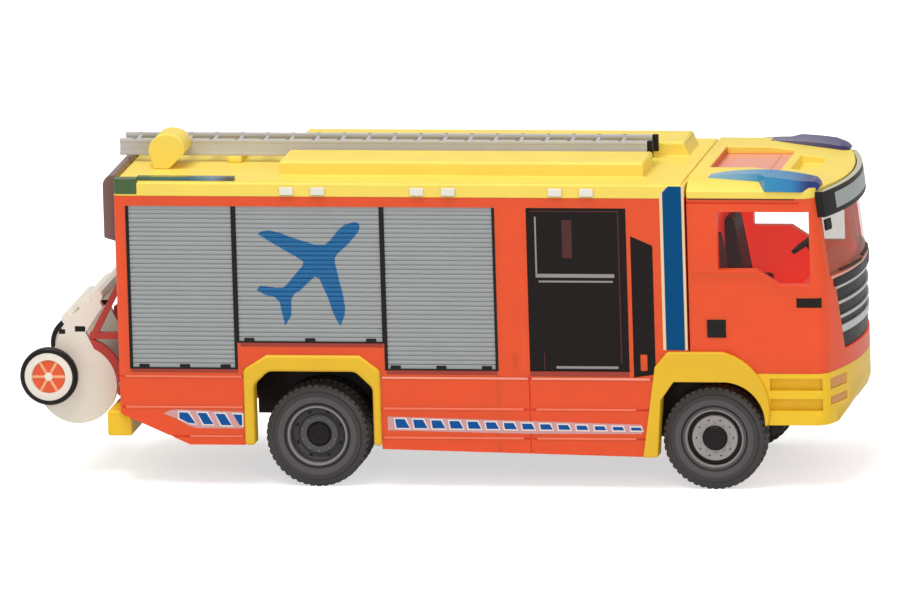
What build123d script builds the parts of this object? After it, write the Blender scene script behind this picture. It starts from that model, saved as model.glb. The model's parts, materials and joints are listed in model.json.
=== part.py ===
from build123d import *
from math import sqrt
import os

os.makedirs("parts", exist_ok=True)

# A 1:87 plastic model of an airport fire engine. Millimetres; +X forward, +Y left, +Z up.
# The origin is on the ground, on the centre plane, halfway along the whole model.

# Driving lengths along the vehicle
wheelbase = 48.85
rear_overhang = 24.2        # rear axle to the body's rear face
front_overhang = 16.7       # front axle to the middle of the cab's front
reel_reach = 13.0           # body's rear face to the back of the reel's wheels
cab_length = 19.3           # cab's rear face to the middle of its front
cab_gap = 0.25              # open slot between body and cab

total_length = wheelbase + rear_overhang + front_overhang + reel_reach
front_x = total_length / 2
front_axle_x = front_x - front_overhang
rear_axle_x = front_axle_x - wheelbase
body_rear = rear_axle_x - rear_overhang
cab_rear = front_x - cab_length
body_front = cab_rear - cab_gap

# Widths, walls and corners
body_width = 28.8
cab_inset = 0.2             # how far the cab's sides stand inside the body's
wall = 1.2
body_corner = 0.7           # radius of the body's upright corners
front_sag = 2.9             # how far the front's corners lie behind its middle
front_corner = 2.0          # radius between the cab's side and its front
half_body = body_width / 2
half_cab = half_body - cab_inset
front_radius = (half_cab ** 2 + front_sag ** 2) / (2 * front_sag)

# Heights
tyre_radius = 6.3
axle_height = tyre_radius
skirt_front_bottom = 4.1
skirt_rear_bottom = 5.25
skirt_corner_bottom = 9.1   # the skirt's foot at the body's rear corner
bumper_bottom = 8.1
cab_bottom = 14.45
arch_top = 17.15
belt_height = 25.6          # foot of the leaning windscreen
orange_top = 36.0           # where the yellow roofs begin
roof_top = 37.85
screen_lean = 1.2           # how far the screen's head lies behind its foot

# Wheels
axle_radius = 0.7
bearing_clearance = 0.05
wheel_face = 13.9           # centre plane to the tyre's outer side
front_tyre_width = 3.5
rear_tyre_width = 6.6       # a twin pair
rim_radius = 3.95
hub_radius = 1.55
bore = axle_radius + bearing_clearance
past = 1.0                  # how far a cut runs past what it cuts


def block(x0, x1, y0, y1, z0, z1):
    return Pos((x0 + x1) / 2, (y0 + y1) / 2, (z0 + z1) / 2) * Box(x1 - x0, y1 - y0, z1 - z0)


def side_prism(points, y0, y1):
    """A side outline of (x, z) points, carried from y0 to y1."""
    face = make_face(Polyline(*[(x, y0, z) for x, z in points], close=True))
    return extrude(face, y1 - y0, dir=(0, 1, 0))


def curve_prism(lines, y0, y1):
    """A closed side outline of lines and arcs, carried from y0 to y1."""
    return Pos(0, y0, 0) * extrude(make_face(lines), y1 - y0, dir=(0, 1, 0))


def cross_prism(points, x0, x1):
    """A front outline of (y, z) points, carried from x0 to x1."""
    face = make_face(Polyline(*[(x0, y, z) for y, z in points], close=True))
    return extrude(face, x1 - x0, dir=(1, 0, 0))


def plan_prism(points, z0, z1):
    """A plan outline of (x, y) points, carried from z0 to z1."""
    face = make_face(Polyline(*[(x, y, z0) for x, y in points], close=True))
    return extrude(face, z1 - z0, dir=(0, 0, 1))


def both_sides(shape):
    return [shape, mirror(shape, about=Plane.XZ)]


def rod(start, end, radius):
    """A round bar between two points."""
    path = Vector(end) - Vector(start)
    return extrude(Plane(start, z_dir=path) * Circle(radius), path.length)


def across(x, z, radius, half):
    """A cylinder across the vehicle, centred on its middle."""
    return Pos(x, 0, z) * Rot(90, 0, 0) * Cylinder(radius, 2 * half)


def from_axle(axle_x, points):
    """Side points given as (distance ahead of an axle, height)."""
    return [(axle_x + ahead, height) for ahead, height in points]


def save(shape, node):
    shape = Compound(children=list(shape)) if isinstance(shape, (list, tuple)) else shape
    export_step(shape, f"parts/{node}.step")


def front_plan(inset=0.0):
    """The cab's plan: straight sides and rear, round corners and a bowed front."""
    radius = front_radius - inset
    y = half_cab - inset
    middle = front_x - front_radius
    corner = middle + sqrt(radius ** 2 - y ** 2)
    back = cab_rear + inset
    outline = make_face([
        Line((back, -y), (corner, -y)),
        ThreePointArc((corner, -y), (middle + radius, 0), (corner, y)),
        Line((corner, y), (back, y)),
        Line((back, y), (back, -y)),
    ])
    return fillet(outline.vertices().sort_by(Axis.X)[-2:], front_corner - inset)


def upright(face, z0, z1):
    return extrude(Pos(0, 0, z0) * face, z1 - z0, dir=(0, 0, 1))


def leaning(face, z0, z1):
    """Carried up with the windscreen's lean."""
    rise = z1 - z0
    lean = screen_lean * rise / (orange_top - belt_height)
    start = screen_lean * (z0 - belt_height) / (orange_top - belt_height)
    return extrude(Pos(-start, 0, z0) * face, sqrt(rise ** 2 + lean ** 2), dir=(-lean, 0, rise))


def front_band(z0, z1, half, outer, inner, carry=upright):
    """A strip of the bowed front between two offsets from its face."""
    middle = front_x - front_radius
    ring = Pos(middle, 0) * (Circle(front_radius + outer) - Circle(front_radius + inner))
    ring = ring & Pos(front_x, 0) * Rectangle(4 * front_sag, 2 * half)
    return carry(ring.face(), z0, z1)


# Rear wheel arch: a chamfered yellow trim let into the side wall, as (x from the axle, z)
rear_arch_rear = -8.8
rear_arch_outer = [
    (rear_arch_rear, 0.0), (rear_arch_rear, 14.6), (-5.85, 16.45), (5.6, 16.45), (8.1, 14.6), (8.1, 0.0),
]
rear_arch_inner = [
    (-7.5, 0.0), (-7.5, 12.7), (-5.7, 14.4), (5.0, 14.4), (7.1, 12.4), (7.1, 0.0),
]
trim_depth = 2.2
trim_proud = 0.4
rear_arch = from_axle(rear_axle_x, rear_arch_outer)


def front_arch_line(*points):
    """The front arch's outline: a leaning leg, a level crown and a curved tail."""
    foot, shoulder_low, shoulder, crown, bend, toe = [
        (x, 0, z) for x, z in from_axle(front_axle_x, points)]
    return [
        Line((foot[0], 0, -past), foot),
        Line(foot, shoulder_low),
        Line(shoulder_low, shoulder),
        Line(shoulder, crown),
        ThreePointArc(crown, bend, toe),
        Line(toe, (toe[0], 0, -past)),
        Line((toe[0], 0, -past), (foot[0], 0, -past)),
    ]


front_arch_rear = -8.65
front_arch_front = 6.75
front_arch_outer = front_arch_line((front_arch_rear, skirt_front_bottom), (-6.95, 15.3), (-5.35, arch_top),
                                   (1.4, arch_top), (5.3, 14.7), (front_arch_front, bumper_bottom))
front_arch_inner = front_arch_line((-6.85, skirt_front_bottom), (-6.3, 11.2), (-4.7, 13.45),
                                   (1.6, 13.45), (5.0, 11.9), (6.4, bumper_bottom))
front_arch_zone = curve_prism(front_arch_outer, -half_body - past, half_body + past)

# Body shell: orange side walls with a rear and a front wall, open above and below
body_outline = [
    (body_rear, skirt_corner_bottom), (rear_axle_x - 21.4, 7.85), (rear_axle_x - 15.6, skirt_rear_bottom),
    (rear_axle_x + rear_arch_rear, skirt_rear_bottom), (front_axle_x + front_arch_rear, skirt_front_bottom),
    (body_front, skirt_front_bottom), (body_front, orange_top), (body_rear, orange_top),
]
body_block = side_prism(body_outline, -half_body, half_body)
body_shell = fillet(body_block.edges().filter_by(Axis.Z).group_by(Axis.X)[0], body_corner)
body_shell -= block(body_rear + wall, body_front - wall, wall - half_body, half_body - wall, 0, orange_top)
body_shell -= front_arch_zone
body_shell -= side_prism(rear_arch, -half_body, half_body)

# Openings in the sides: crew door and its quarter light ahead of a post, three shutters behind it
shutter_top = 34.8
shutter_bottom = 14.8
mid_shutter_bottom = 18.1      # the middle shutter ends above the wheel arch
corner_post = 1.8
shutter_gap = 0.55
door_post = 4.2
mid_shutter_rear = rear_axle_x - 9.2
mid_shutter_front = rear_axle_x + 8.5
crew_door_rear = front_axle_x - 22.3
crew_door_front = front_axle_x - 10.05
shutters = [                   # rear end, front end, bottom
    (body_rear + corner_post, mid_shutter_rear - shutter_gap, shutter_bottom),
    (mid_shutter_rear, mid_shutter_front, mid_shutter_bottom),
    (mid_shutter_front + shutter_gap, crew_door_rear - door_post, shutter_bottom),
]
crew_quarter = [(-9.55, 13.9), (-6.85, 14.3), (-6.85, 30.2), (-9.55, 31.4)]    # x from the front axle, z
shutter_frame = 0.35           # black surround beside each curtain
frame_foot = 0.2               # the same below it
shutter_pocket = 0.7
door_sill = 0.3                # the crew door reaches this far below the shutters
glass_inset = 0.15             # how far the black panes lie behind the wall's face

side_inner = half_body - shutter_pocket
frame = [block(x0 - shutter_frame, x1 + shutter_frame, side_inner, half_body, z0 - frame_foot, shutter_top)
         for x0, x1, z0 in shutters]
frame = frame[0] + frame[1:]
crew_panes = [
    block(crew_door_rear, crew_door_front, half_body - wall, half_body, shutter_bottom - door_sill, shutter_top),
    side_prism(from_axle(front_axle_x, crew_quarter), half_body - wall, half_body) - front_arch_zone,
]
for opening in [frame] + crew_panes:
    body_shell -= both_sides(opening)

# Lines pressed into the skirt, and upright seams below the crew door
crease_depth = 0.22
crease_height = 0.3
seam_width = 0.2
crease_heights = (13.7, 9.9, 6.3)
crease_skin = half_body - crease_depth
for height in crease_heights:
    crease = block(body_rear, body_front, crease_skin, half_body, height - crease_height / 2,
                   height + crease_height / 2)
    body_shell -= both_sides(crease)
for seam in (crew_door_rear, crew_door_rear - door_post + shutter_frame):
    groove = block(seam - seam_width, seam, crease_skin, half_body, 0, shutter_bottom - 2 * shutter_frame)
    body_shell -= both_sides(groove)

# Rear doorway, behind the reel
rear_door_half = 7.2
rear_door_bottom = 13.0
rear_door_top = 29.0
body_shell -= block(body_rear, body_rear + shutter_pocket, -rear_door_half, rear_door_half,
                    rear_door_bottom, rear_door_top)
save(body_shell, "body_shell")

# Roller curtains: slats that meet in V grooves
slat_pitch = 0.64
slat_face = 0.58               # how far the slats stand out from the pocket's back
slat_root = 0.42               # the same at the bottom of a groove
groove_half = 0.13


def curtain(length, height):
    """A ribbed curtain standing on its lower edge, its back on the XZ plane and its slats out along +Y."""
    edge = [(slat_face, 0.0)]
    for i in range(1, int(height / slat_pitch)):
        z = i * slat_pitch
        edge += [(slat_face, z - groove_half), (slat_root, z), (slat_face, z + groove_half)]
    edge += [(slat_face, height), (0, height), (0, 0)]
    return cross_prism(edge, -length / 2, length / 2)


curtains = []
for x0, x1, z0 in shutters:
    frame -= block(x0, x1, side_inner, half_body, z0, shutter_top)
    curtains.append(Pos((x0 + x1) / 2, side_inner, z0) * curtain(x1 - x0, shutter_top - z0))
save(both_sides(frame), "shutter_frames")
save(curtains, "shutters_left")
save([mirror(sheet, about=Plane.XZ) for sheet in curtains], "shutters_right")

rear_curtain = curtain(2 * rear_door_half, rear_door_top - rear_door_bottom)
save(Pos(body_rear + shutter_pocket, 0, rear_door_bottom) * Rot(0, 0, 90) * rear_curtain, "rear_shutter")

# Black crew glazing
inset_skin = block(body_rear, body_front, half_body - glass_inset, half_body, 0, orange_top)
save([side for pane in crew_panes for side in both_sides(pane - inset_skin)], "crew_windows")

# Rear arch trims
trim = side_prism(rear_arch, half_body - trim_depth, half_body + trim_proud)
trim -= side_prism(from_axle(rear_axle_x, rear_arch_inner), half_body - trim_depth, half_body + trim_proud)
trim -= block(body_rear, body_front, 0, half_body + past, -past, skirt_rear_bottom)
save(both_sides(trim), "rear_arches")

# Front arches
arch = curve_prism(front_arch_outer, half_body - trim_depth, half_body + trim_proud)
arch -= curve_prism(front_arch_inner, half_body - trim_depth, half_body + trim_proud)
arch -= block(body_rear, front_axle_x, 0, half_body + past, -past, skirt_front_bottom)
arch -= block(front_axle_x, front_x, 0, half_body + past, -past, bumper_bottom)
save(both_sides(arch), "front_arches")

# Body roof: a yellow lid with two raised lockers and the ladder's channel between them
locker_height = 1.75
locker_half = 10.2
locker_edge = 0.4              # radius along the lockers' top edges
channel_half = 2.9
ledge_inset = 0.35
ledge_height = 0.25
locker_rear = rear_axle_x - 4.4
right_locker_front = front_axle_x - 8.45
left_locker_front = front_axle_x - 4.95
locker_top = roof_top + locker_height

lid = block(body_rear, body_front, -half_body, half_body, orange_top, roof_top - ledge_height)
lid = fillet(lid.edges().filter_by(Axis.Z).group_by(Axis.X)[0], body_corner)
deck = block(body_rear + ledge_inset, body_front - ledge_inset, ledge_inset - half_body,
             half_body - ledge_inset, roof_top - ledge_height, roof_top)
lockers = [
    block(locker_rear, right_locker_front, -locker_half, -channel_half, roof_top, locker_top),
    side_prism([(locker_rear, roof_top), (left_locker_front, roof_top), (left_locker_front - 0.7, locker_top),
                (locker_rear, locker_top)], channel_half, locker_half),
]
lockers = [fillet(locker.edges().group_by(Axis.Z)[-1], locker_edge) for locker in lockers]
body_roof = lid + deck + lockers

# Rear corner beacons, each with a strip along the roof's edge
corner_lens_length = 2.9
corner_lens_width = 1.5
corner_lens_height = 1.6
lens_proud = 0.25
strip_length = 12.0
strip_width = 1.1
strip_height = 0.45
corner_lens = block(body_rear, body_rear + corner_lens_length, half_body - corner_lens_width, half_body,
                    roof_top - corner_lens_height, roof_top + lens_proud)
corner_lens = fillet(corner_lens.edges().filter_by(Axis.Z).sort_by(Axis.X)[:2].sort_by(Axis.Y)[-1:], body_corner)
body_roof -= both_sides(corner_lens)
save(body_roof, "body_roof")

strip_rear = body_rear + corner_lens_length
lens_strip = block(strip_rear, strip_rear + strip_length, half_body - ledge_inset - strip_width,
                   half_body - ledge_inset, roof_top, roof_top + strip_height)
save(both_sides(corner_lens + lens_strip), "rear_beacons")

# Side lamps on the roof's edge: a pair above each opening that a crew works at
lamp_length = 1.7
lamp_depth = 0.4
lamp_height = 0.95
lamp_centre = orange_top + 0.75
lamp_pitch = 3.85
lamp_shift = -0.5
openings = [(mid_shutter_rear, mid_shutter_front), shutters[2][:2], (crew_door_rear, crew_door_front)]
lamps = []
for x0, x1 in openings:
    for step in (-lamp_pitch / 2, lamp_pitch / 2):
        place = Pos((x0 + x1) / 2 + lamp_shift + step, half_body + lamp_depth / 2, lamp_centre)
        lamps += both_sides(place * Box(lamp_length, lamp_depth, lamp_height))
save(lamps, "side_lamps")

# Ladder: two rails with rungs between them, on two cradles
ladder_rear = body_rear - 1.3
ladder_front = front_axle_x - 8.55
ladder_half = 2.3
rail_height = 2.0
rail_width = 0.6
ladder_bottom = roof_top + 0.8
rung_pitch = 3.15
rung_first = 1.6               # rail's end to the first rung
rung_width = 0.55
rung_height = 0.4
rung_drop = 0.35               # rung's top below the rails' top
rung_top = ladder_bottom + rail_height - rung_drop
rail = block(ladder_rear, ladder_front, ladder_half - rail_width, ladder_half, ladder_bottom,
             ladder_bottom + rail_height)
rung_count = int((ladder_front - ladder_rear - rung_first) / rung_pitch)
rungs = [block(x, x + rung_width, rail_width - ladder_half, ladder_half - rail_width, rung_top - rung_height,
               rung_top) for x in [ladder_rear + rung_first + i * rung_pitch for i in range(rung_count)]]
save(rail + mirror(rail, about=Plane.XZ) + rungs, "ladder")
cradle_length = 1.6
cradle_places = (rear_axle_x - 12.0, rear_axle_x + 20.0)
save([block(x, x + cradle_length, -channel_half, channel_half, roof_top, ladder_bottom) for x in cradle_places],
     "ladder_cradles")

# Yellow ladder guard at the rear: a rounded horn that leans back beside the right rail
guard_foot_rear = body_rear + 3.7
guard_foot_front = guard_foot_rear + 1.9
guard_width = 4.6
guard_gap = 0.05
guard_height = 4.2
guard = curve_prism([
    Line((guard_foot_rear, 0, roof_top), (guard_foot_front, 0, roof_top)),
    Line((guard_foot_front, 0, roof_top), (guard_foot_front + 1.9, 0, roof_top + 1.9)),
    ThreePointArc((guard_foot_front + 1.9, 0, roof_top + 1.9), (guard_foot_front + 1.7, 0, roof_top + 3.5),
                  (guard_foot_front + 0.6, 0, roof_top + guard_height)),
    ThreePointArc((guard_foot_front + 0.6, 0, roof_top + guard_height), (guard_foot_rear + 0.1, 0, roof_top + 3.7),
                  (guard_foot_rear - 0.6, 0, roof_top + 2.2)),
    Line((guard_foot_rear - 0.6, 0, roof_top + 2.2), (guard_foot_rear, 0, roof_top)),
], -ladder_half - guard_gap - guard_width, -ladder_half - guard_gap)
save(guard, "ladder_guard")

# Rear upper housing: a smoked box across the back with a round upper edge
housing_half = 12.4
housing_depth = 1.65
housing_bottom = 29.9
housing_top = roof_top + 0.35
housing_round = 1.4
housing_rise = 0.5             # how far the underside climbs to the rear
housing = side_prism([(body_rear, housing_bottom), (body_rear - housing_depth, housing_bottom + housing_rise),
                      (body_rear - housing_depth, housing_top), (body_rear, housing_top)],
                     -housing_half, housing_half)
housing = fillet(housing.edges().filter_by(Axis.Y).group_by(Axis.X)[0].sort_by(Axis.Z)[-1:], housing_round)
save(housing, "rear_housing")

# Rear bumper beam
beam_half = half_body - wall
beam_depth = 1.8
beam_bottom = 6.0
beam = block(body_rear - beam_depth, body_rear + wall, -beam_half, beam_half, beam_bottom, skirt_corner_bottom)
save(beam - body_block, "rear_bumper")

tail_lamp_outer = beam_half
tail_lamp_width = 2.5
tail_lamp_depth = 0.4
tail_lamp_height = 1.2
tail_lamp_gap = 0.4
tail_lamp_bottom = skirt_corner_bottom + 1.9
tail_lamps = []
for step in (0, tail_lamp_height + tail_lamp_gap):
    bottom = tail_lamp_bottom + step
    tail_lamps += both_sides(block(body_rear - tail_lamp_depth, body_rear, tail_lamp_outer - tail_lamp_width,
                                   tail_lamp_outer, bottom, bottom + tail_lamp_height))
save(tail_lamps, "tail_lamps")

# Cab shell: an upright lower part and an upper part that leans with the windscreen
cab_back = block(cab_rear, front_x + past, -half_cab, half_cab, belt_height, orange_top)
cab_outer = upright(front_plan(), cab_bottom, belt_height) + (leaning(front_plan(), belt_height, orange_top) & cab_back)
cab_room = block(cab_rear + wall, front_x + past, -half_cab, half_cab, belt_height, orange_top + past)
cab_inner = upright(front_plan(wall), 0, belt_height) + (
    leaning(front_plan(wall), belt_height, orange_top + past) & cab_room)
cab_shell = cab_outer - cab_inner - front_arch_zone

door_window = [                # x from the front axle, z
    (1.05, 34.4), (12.3, 34.4), (12.3, 25.4), (8.5, 25.4), (5.7, 27.25), (1.05, 27.25),
]
window_outline = from_axle(front_axle_x, door_window)
cab_shell -= side_prism(window_outline, -half_cab - past, half_cab + past)

screen_half = 12.3
screen_bottom = 26.2
screen_top = 34.9
screen_reach = 6.0             # how far back the windscreen's opening cuts at its sides
cab_shell -= block(front_x - screen_reach, front_x + past, -screen_half, screen_half, screen_bottom, screen_top)

# Grille opening: wide below the screen, narrower towards the bumper
grille_half_top = 11.2
grille_half_bottom = 9.0
grille_bottom = 16.6
grille_top = 25.2
grille_depth = 0.6
grille_zone = cross_prism([(-grille_half_bottom, grille_bottom), (grille_half_bottom, grille_bottom),
                           (grille_half_top, grille_top), (-grille_half_top, grille_top)],
                          front_x - screen_reach, front_x + past)
cab_shell -= front_band(grille_bottom, grille_top, grille_half_top, past, -grille_depth) & grille_zone

# Lines pressed into the cab's sides: rear and front from the front axle, bottom, top
cab_lines = [
    (-2.6, 11.2, orange_top - 0.65, orange_top - 0.35),
    (-1.35, 5.9, 26.45, 26.7),
]
slot_vent = (10.55, 13.6, 22.6, 23.8)
handle = (-0.45, 1.85, 18.9, 21.1)
recess_depth = 0.5
for recess, depth in [(line, crease_depth) for line in cab_lines] + [(slot_vent, recess_depth), (handle, recess_depth)]:
    x0, x1, z0, z1 = recess
    cab_shell -= both_sides(block(front_axle_x + x0, front_axle_x + x1, half_cab - depth, half_cab, z0, z1))
save(cab_shell, "cab_shell")

# Pull handles proud of their recess, and vents at the bottom of theirs
handle_proud = 0.1
vent_sunk = 0.2
for (x0, x1, z0, z1), face_y, node in ((handle, half_cab + handle_proud, "door_handles"),
                                       (slot_vent, half_cab - vent_sunk, "side_vents")):
    save(both_sides(block(front_axle_x + x0, front_axle_x + x1, half_cab - recess_depth, face_y, z0, z1)), node)

# Cab glazing
pane = 0.7
pane_inset = 0.1
screen_inset = 0.15
glass_back = half_cab - wall + pane_inset
save(both_sides(side_prism(window_outline, glass_back, glass_back + pane)), "door_windows")
save(front_band(screen_bottom, screen_top, screen_half, -screen_inset, -screen_inset - pane, leaning), "windscreen")

# Cab roof: slanted shoulders, a fall to the front and a well for the hatch
cab_roof_top = 38.35
shoulder_foot = 0.9            # upright strip below the slanted shoulder
shoulder_run = 2.1             # how far the shoulder slants inwards
roof_nose = 36.9               # height of the roof where it meets the visor
roof_fall_start = front_axle_x + 4.5
roof_face = Pos(-screen_lean, 0) * front_plan()
cab_roof = upright(roof_face, orange_top, cab_roof_top) & cross_prism([
    (-half_cab, orange_top), (half_cab, orange_top), (half_cab, orange_top + shoulder_foot),
    (half_cab - shoulder_run, cab_roof_top), (shoulder_run - half_cab, cab_roof_top),
    (-half_cab, orange_top + shoulder_foot)], cab_rear, front_x)
cab_roof -= side_prism([(roof_fall_start, cab_roof_top), (front_x - screen_lean, roof_nose),
                        (front_x + past, roof_nose), (front_x + past, cab_roof_top + past),
                        (roof_fall_start, cab_roof_top + past)], -half_body, half_body)
hatch_rear = front_axle_x - 0.9
hatch_front = front_axle_x + 7.6
hatch_half = 6.3
well_floor = orange_top + 1.1
panel_thickness = 0.4
rib_inset = 1.5
rib_height = 0.15
cab_roof -= block(hatch_rear, hatch_front, -hatch_half, hatch_half, well_floor, cab_roof_top + past)
hatch = block(hatch_rear, hatch_front, -hatch_half, hatch_half, well_floor, well_floor + panel_thickness)
hatch += block(hatch_rear + rib_inset, hatch_front - rib_inset, rib_inset - hatch_half, hatch_half - rib_inset,
               well_floor + panel_thickness, well_floor + panel_thickness + rib_height)
step_rear = hatch_front + 1.1  # shallow tread ahead of the hatch
step_length = 3.0
step_half = 4.2
step_floor = 36.75
cab_roof -= block(step_rear, step_rear + step_length, -step_half, step_half, step_floor, cab_roof_top + past)
save(cab_roof, "cab_roof")
save(hatch, "cab_hatch")

# Roof beacons: a blue wedge on each shoulder, thin behind, deep and rounded in front
beacon_rear = front_axle_x - 0.2
beacon_front = front_axle_x + 13.6
beacon_swell = beacon_rear + 7.3        # where the lens drops over the shoulder
beacon_inner = 9.9
beacon_outer = half_cab + 0.25
beacon_tail = 12.3
beacon_low = roof_top - 1.0
beacon_plan = plan_prism([
    (beacon_rear, beacon_tail - 1.9), (beacon_rear, beacon_tail), (beacon_swell - 1.0, beacon_tail + 0.5),
    (beacon_swell, beacon_outer), (beacon_front - 2.2, beacon_outer), (beacon_front, beacon_outer - 1.9),
    (beacon_front, beacon_inner + 0.8), (beacon_front - 0.8, beacon_inner), (beacon_swell, beacon_inner)],
    beacon_low, cab_roof_top + 2)
beacon_side = curve_prism([
    Line((beacon_rear, 0, beacon_low + 0.4), (beacon_rear, 0, cab_roof_top + 0.4)),
    ThreePointArc((beacon_rear, 0, cab_roof_top + 0.4), (beacon_swell, 0, cab_roof_top + 1.0),
                  (beacon_front - 1.2, 0, roof_top + 0.6)),
    ThreePointArc((beacon_front - 1.2, 0, roof_top + 0.6), (beacon_front - 0.35, 0, roof_top + 0.2),
                  (beacon_front, 0, roof_top - 0.4)),
    Line((beacon_front, 0, roof_top - 0.4), (beacon_front - 0.3, 0, beacon_low)),
    Line((beacon_front - 0.3, 0, beacon_low), (beacon_rear, 0, beacon_low + 0.4)),
], 0, half_body + past)
beacon = (beacon_side & beacon_plan) - cab_roof - cab_shell
beacons = both_sides(beacon.solids().sort_by(SortBy.VOLUME)[-1])
for side, solid in zip(("left", "right"), beacons):
    save(solid, f"beacon_{side}")

# Sun visor over the windscreen
visor_half = 13.2
visor_bottom = 33.6
visor_proud = 0.9
visor = front_band(visor_bottom, roof_nose - 0.2, visor_half, visor_proud, 0.0, leaning)
visor = visor - cab_shell - cab_roof - beacons[0] - beacons[1]
save(visor.solids().sort_by(SortBy.VOLUME)[-1], "sun_visor")

# Grille: a black panel with silver bars, as (bottom, height)
grille_bars = [(24.3, 0.3), (22.3, 0.35), (20.5, 0.35), (18.7, 0.9)]
panel_sunk = 0.25
bar_proud = 0.0
panel = front_band(grille_bottom, grille_top, grille_half_top, -panel_sunk, -grille_depth) & grille_zone
save(panel, "grille")
save([front_band(z, z + height, grille_half_top, bar_proud, -panel_sunk) & grille_zone for z, height in grille_bars],
     "grille_bars")

# Front bumper with a slanted chin, steps at its sides and two lamps in each corner
bumper_wall = 1.6
chin_rise = 3.2
chin_depth = 1.8
bumper_rear = front_axle_x + front_arch_front
bumper_reach = 2.2             # how far its upper edge follows the arch back
bumper = upright(front_plan(), bumper_bottom, cab_bottom) - upright(front_plan(bumper_wall), bumper_bottom, cab_bottom)
bumper &= block(bumper_rear - bumper_reach, front_x + past, -half_cab, half_cab, bumper_bottom, cab_bottom)
bumper -= front_arch_zone
bumper -= side_prism([(front_x + past, bumper_bottom + chin_rise), (front_x - 0.1, bumper_bottom + chin_rise),
                      (front_x - chin_depth, bumper_bottom), (front_x + past, bumper_bottom)],
                     -half_body, half_body)
step_gap = 0.3
tread_length = 6.4
tread_depth = 1.0
for z0, z1 in ((bumper_bottom + 1.75, bumper_bottom + 3.25), (bumper_bottom + 4.25, cab_bottom - 0.6)):
    tread = block(bumper_rear + step_gap, bumper_rear + step_gap + tread_length, half_cab - tread_depth,
                  half_cab, z0, z1)
    bumper -= both_sides(tread)
lamp_outer = half_cab - 1.2
lamp_width = 4.4
lamp_pocket = 0.5
lamp_sunk = 0.08
headlamps = []
for z0, z1 in ((bumper_bottom + 2.35, bumper_bottom + 3.3), (bumper_bottom + 4.25, bumper_bottom + 5.55)):
    reach = block(0, front_x + past, lamp_outer - lamp_width, lamp_outer, z0, z1)
    bumper -= both_sides(front_band(z0, z1, lamp_outer, past, -lamp_pocket) & reach)
    headlamps += both_sides(front_band(z0, z1, lamp_outer, -lamp_sunk, -lamp_pocket) & reach)
save(bumper, "front_bumper")
save(headlamps, "headlamps")

# Cab interior: floor, engine tunnel and dashboard
floor_height = arch_top + 0.2
floor_thickness = 0.8
floor_top = floor_height + floor_thickness
tunnel_half = 3.2
tunnel_top = floor_top + 2.85
dash_depth = 5.9
dash_top = belt_height - 0.7
interior = upright(front_plan(wall), floor_height, floor_top)
interior += block(cab_rear + wall, front_x - dash_depth, -tunnel_half, tunnel_half, floor_top, tunnel_top)
dash_zone = block(front_x - dash_depth, front_x, -half_cab, half_cab, floor_top, dash_top)
interior += upright(front_plan(wall), floor_top, dash_top) & dash_zone
save(interior, "cab_interior")

# Seats: a squab and a leaning back on each side of the tunnel
seat_rear = cab_rear + wall + 0.3
seat_inner = tunnel_half + 0.8
seat_outer = half_cab - 3.8
squab_top = floor_top + 3.85
squab_length = 5.0
back_top = floor_top + 11.85
back_lean = 0.7
back_foot = 1.8
seat = side_prism([
    (seat_rear, floor_top), (seat_rear + squab_length, floor_top), (seat_rear + squab_length, squab_top),
    (seat_rear + back_foot + back_lean, squab_top), (seat_rear + back_foot - back_lean, back_top),
    (seat_rear, back_top)], seat_inner, seat_outer)
save(both_sides(seat), "seats")

# Steering wheel on its column, on the left
steering_radius = 2.2
steering_section = 0.5
steering_y = half_cab / 2 + 0.1
wheel_centre = Vector(front_x - 8.2, steering_y, dash_top + 1.5)
column_foot = Vector(front_x - dash_depth, steering_y, dash_top - 1.7)
wheel_plane = Plane(wheel_centre, z_dir=column_foot - wheel_centre)
steering = wheel_plane * (Cylinder(steering_radius, steering_section)
                          - Cylinder(steering_radius - steering_section, steering_section))
steering += wheel_plane * Box(2 * steering_radius - steering_section, steering_section, steering_section)
steering += rod(wheel_centre, column_foot, 0.4)
save(steering - interior, "steering_wheel")

# Chassis: two rails with cross members between them and a bearing bracket at each axle
rail_y = 4.6
rail_thickness = 1.4
rail_bottom = 9.6
rail_top = 12.6
chassis_rear = body_rear + wall
chassis_front = front_x - 3.4
rail_outer = rail_y + rail_thickness / 2
rail_inner = rail_y - rail_thickness / 2
bracket_drop = axle_radius + 1.0
bracket_half = 1.5
bracket_flare = 0.7
chassis_rail = block(chassis_rear, chassis_front, rail_inner, rail_outer, rail_bottom, rail_top)
for axle_x in (rear_axle_x, front_axle_x):
    chassis_rail += side_prism(from_axle(axle_x, [
        (-bracket_half, axle_height - bracket_drop), (bracket_half, axle_height - bracket_drop),
        (bracket_half + bracket_flare, rail_bottom), (-bracket_half - bracket_flare, rail_bottom)]),
        rail_inner, rail_outer)
chassis = chassis_rail + mirror(chassis_rail, about=Plane.XZ)
member_length = 1.4
member_margin = 9.0            # axle to the nearest cross member between the axles
member_count = 3
member_step = (wheelbase - 2 * member_margin - member_length) / (member_count - 1)
members = [rear_axle_x + member_margin + i * member_step for i in range(member_count)]
members += [chassis_rear + 1.8, chassis_front - 2.5]
for x in members:
    chassis += block(x, x + member_length, -rail_y, rail_y, rail_bottom, rail_top)
for axle_x in (rear_axle_x, front_axle_x):
    chassis -= across(axle_x, axle_height, bore, rail_outer)
save(chassis, "chassis")

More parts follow.
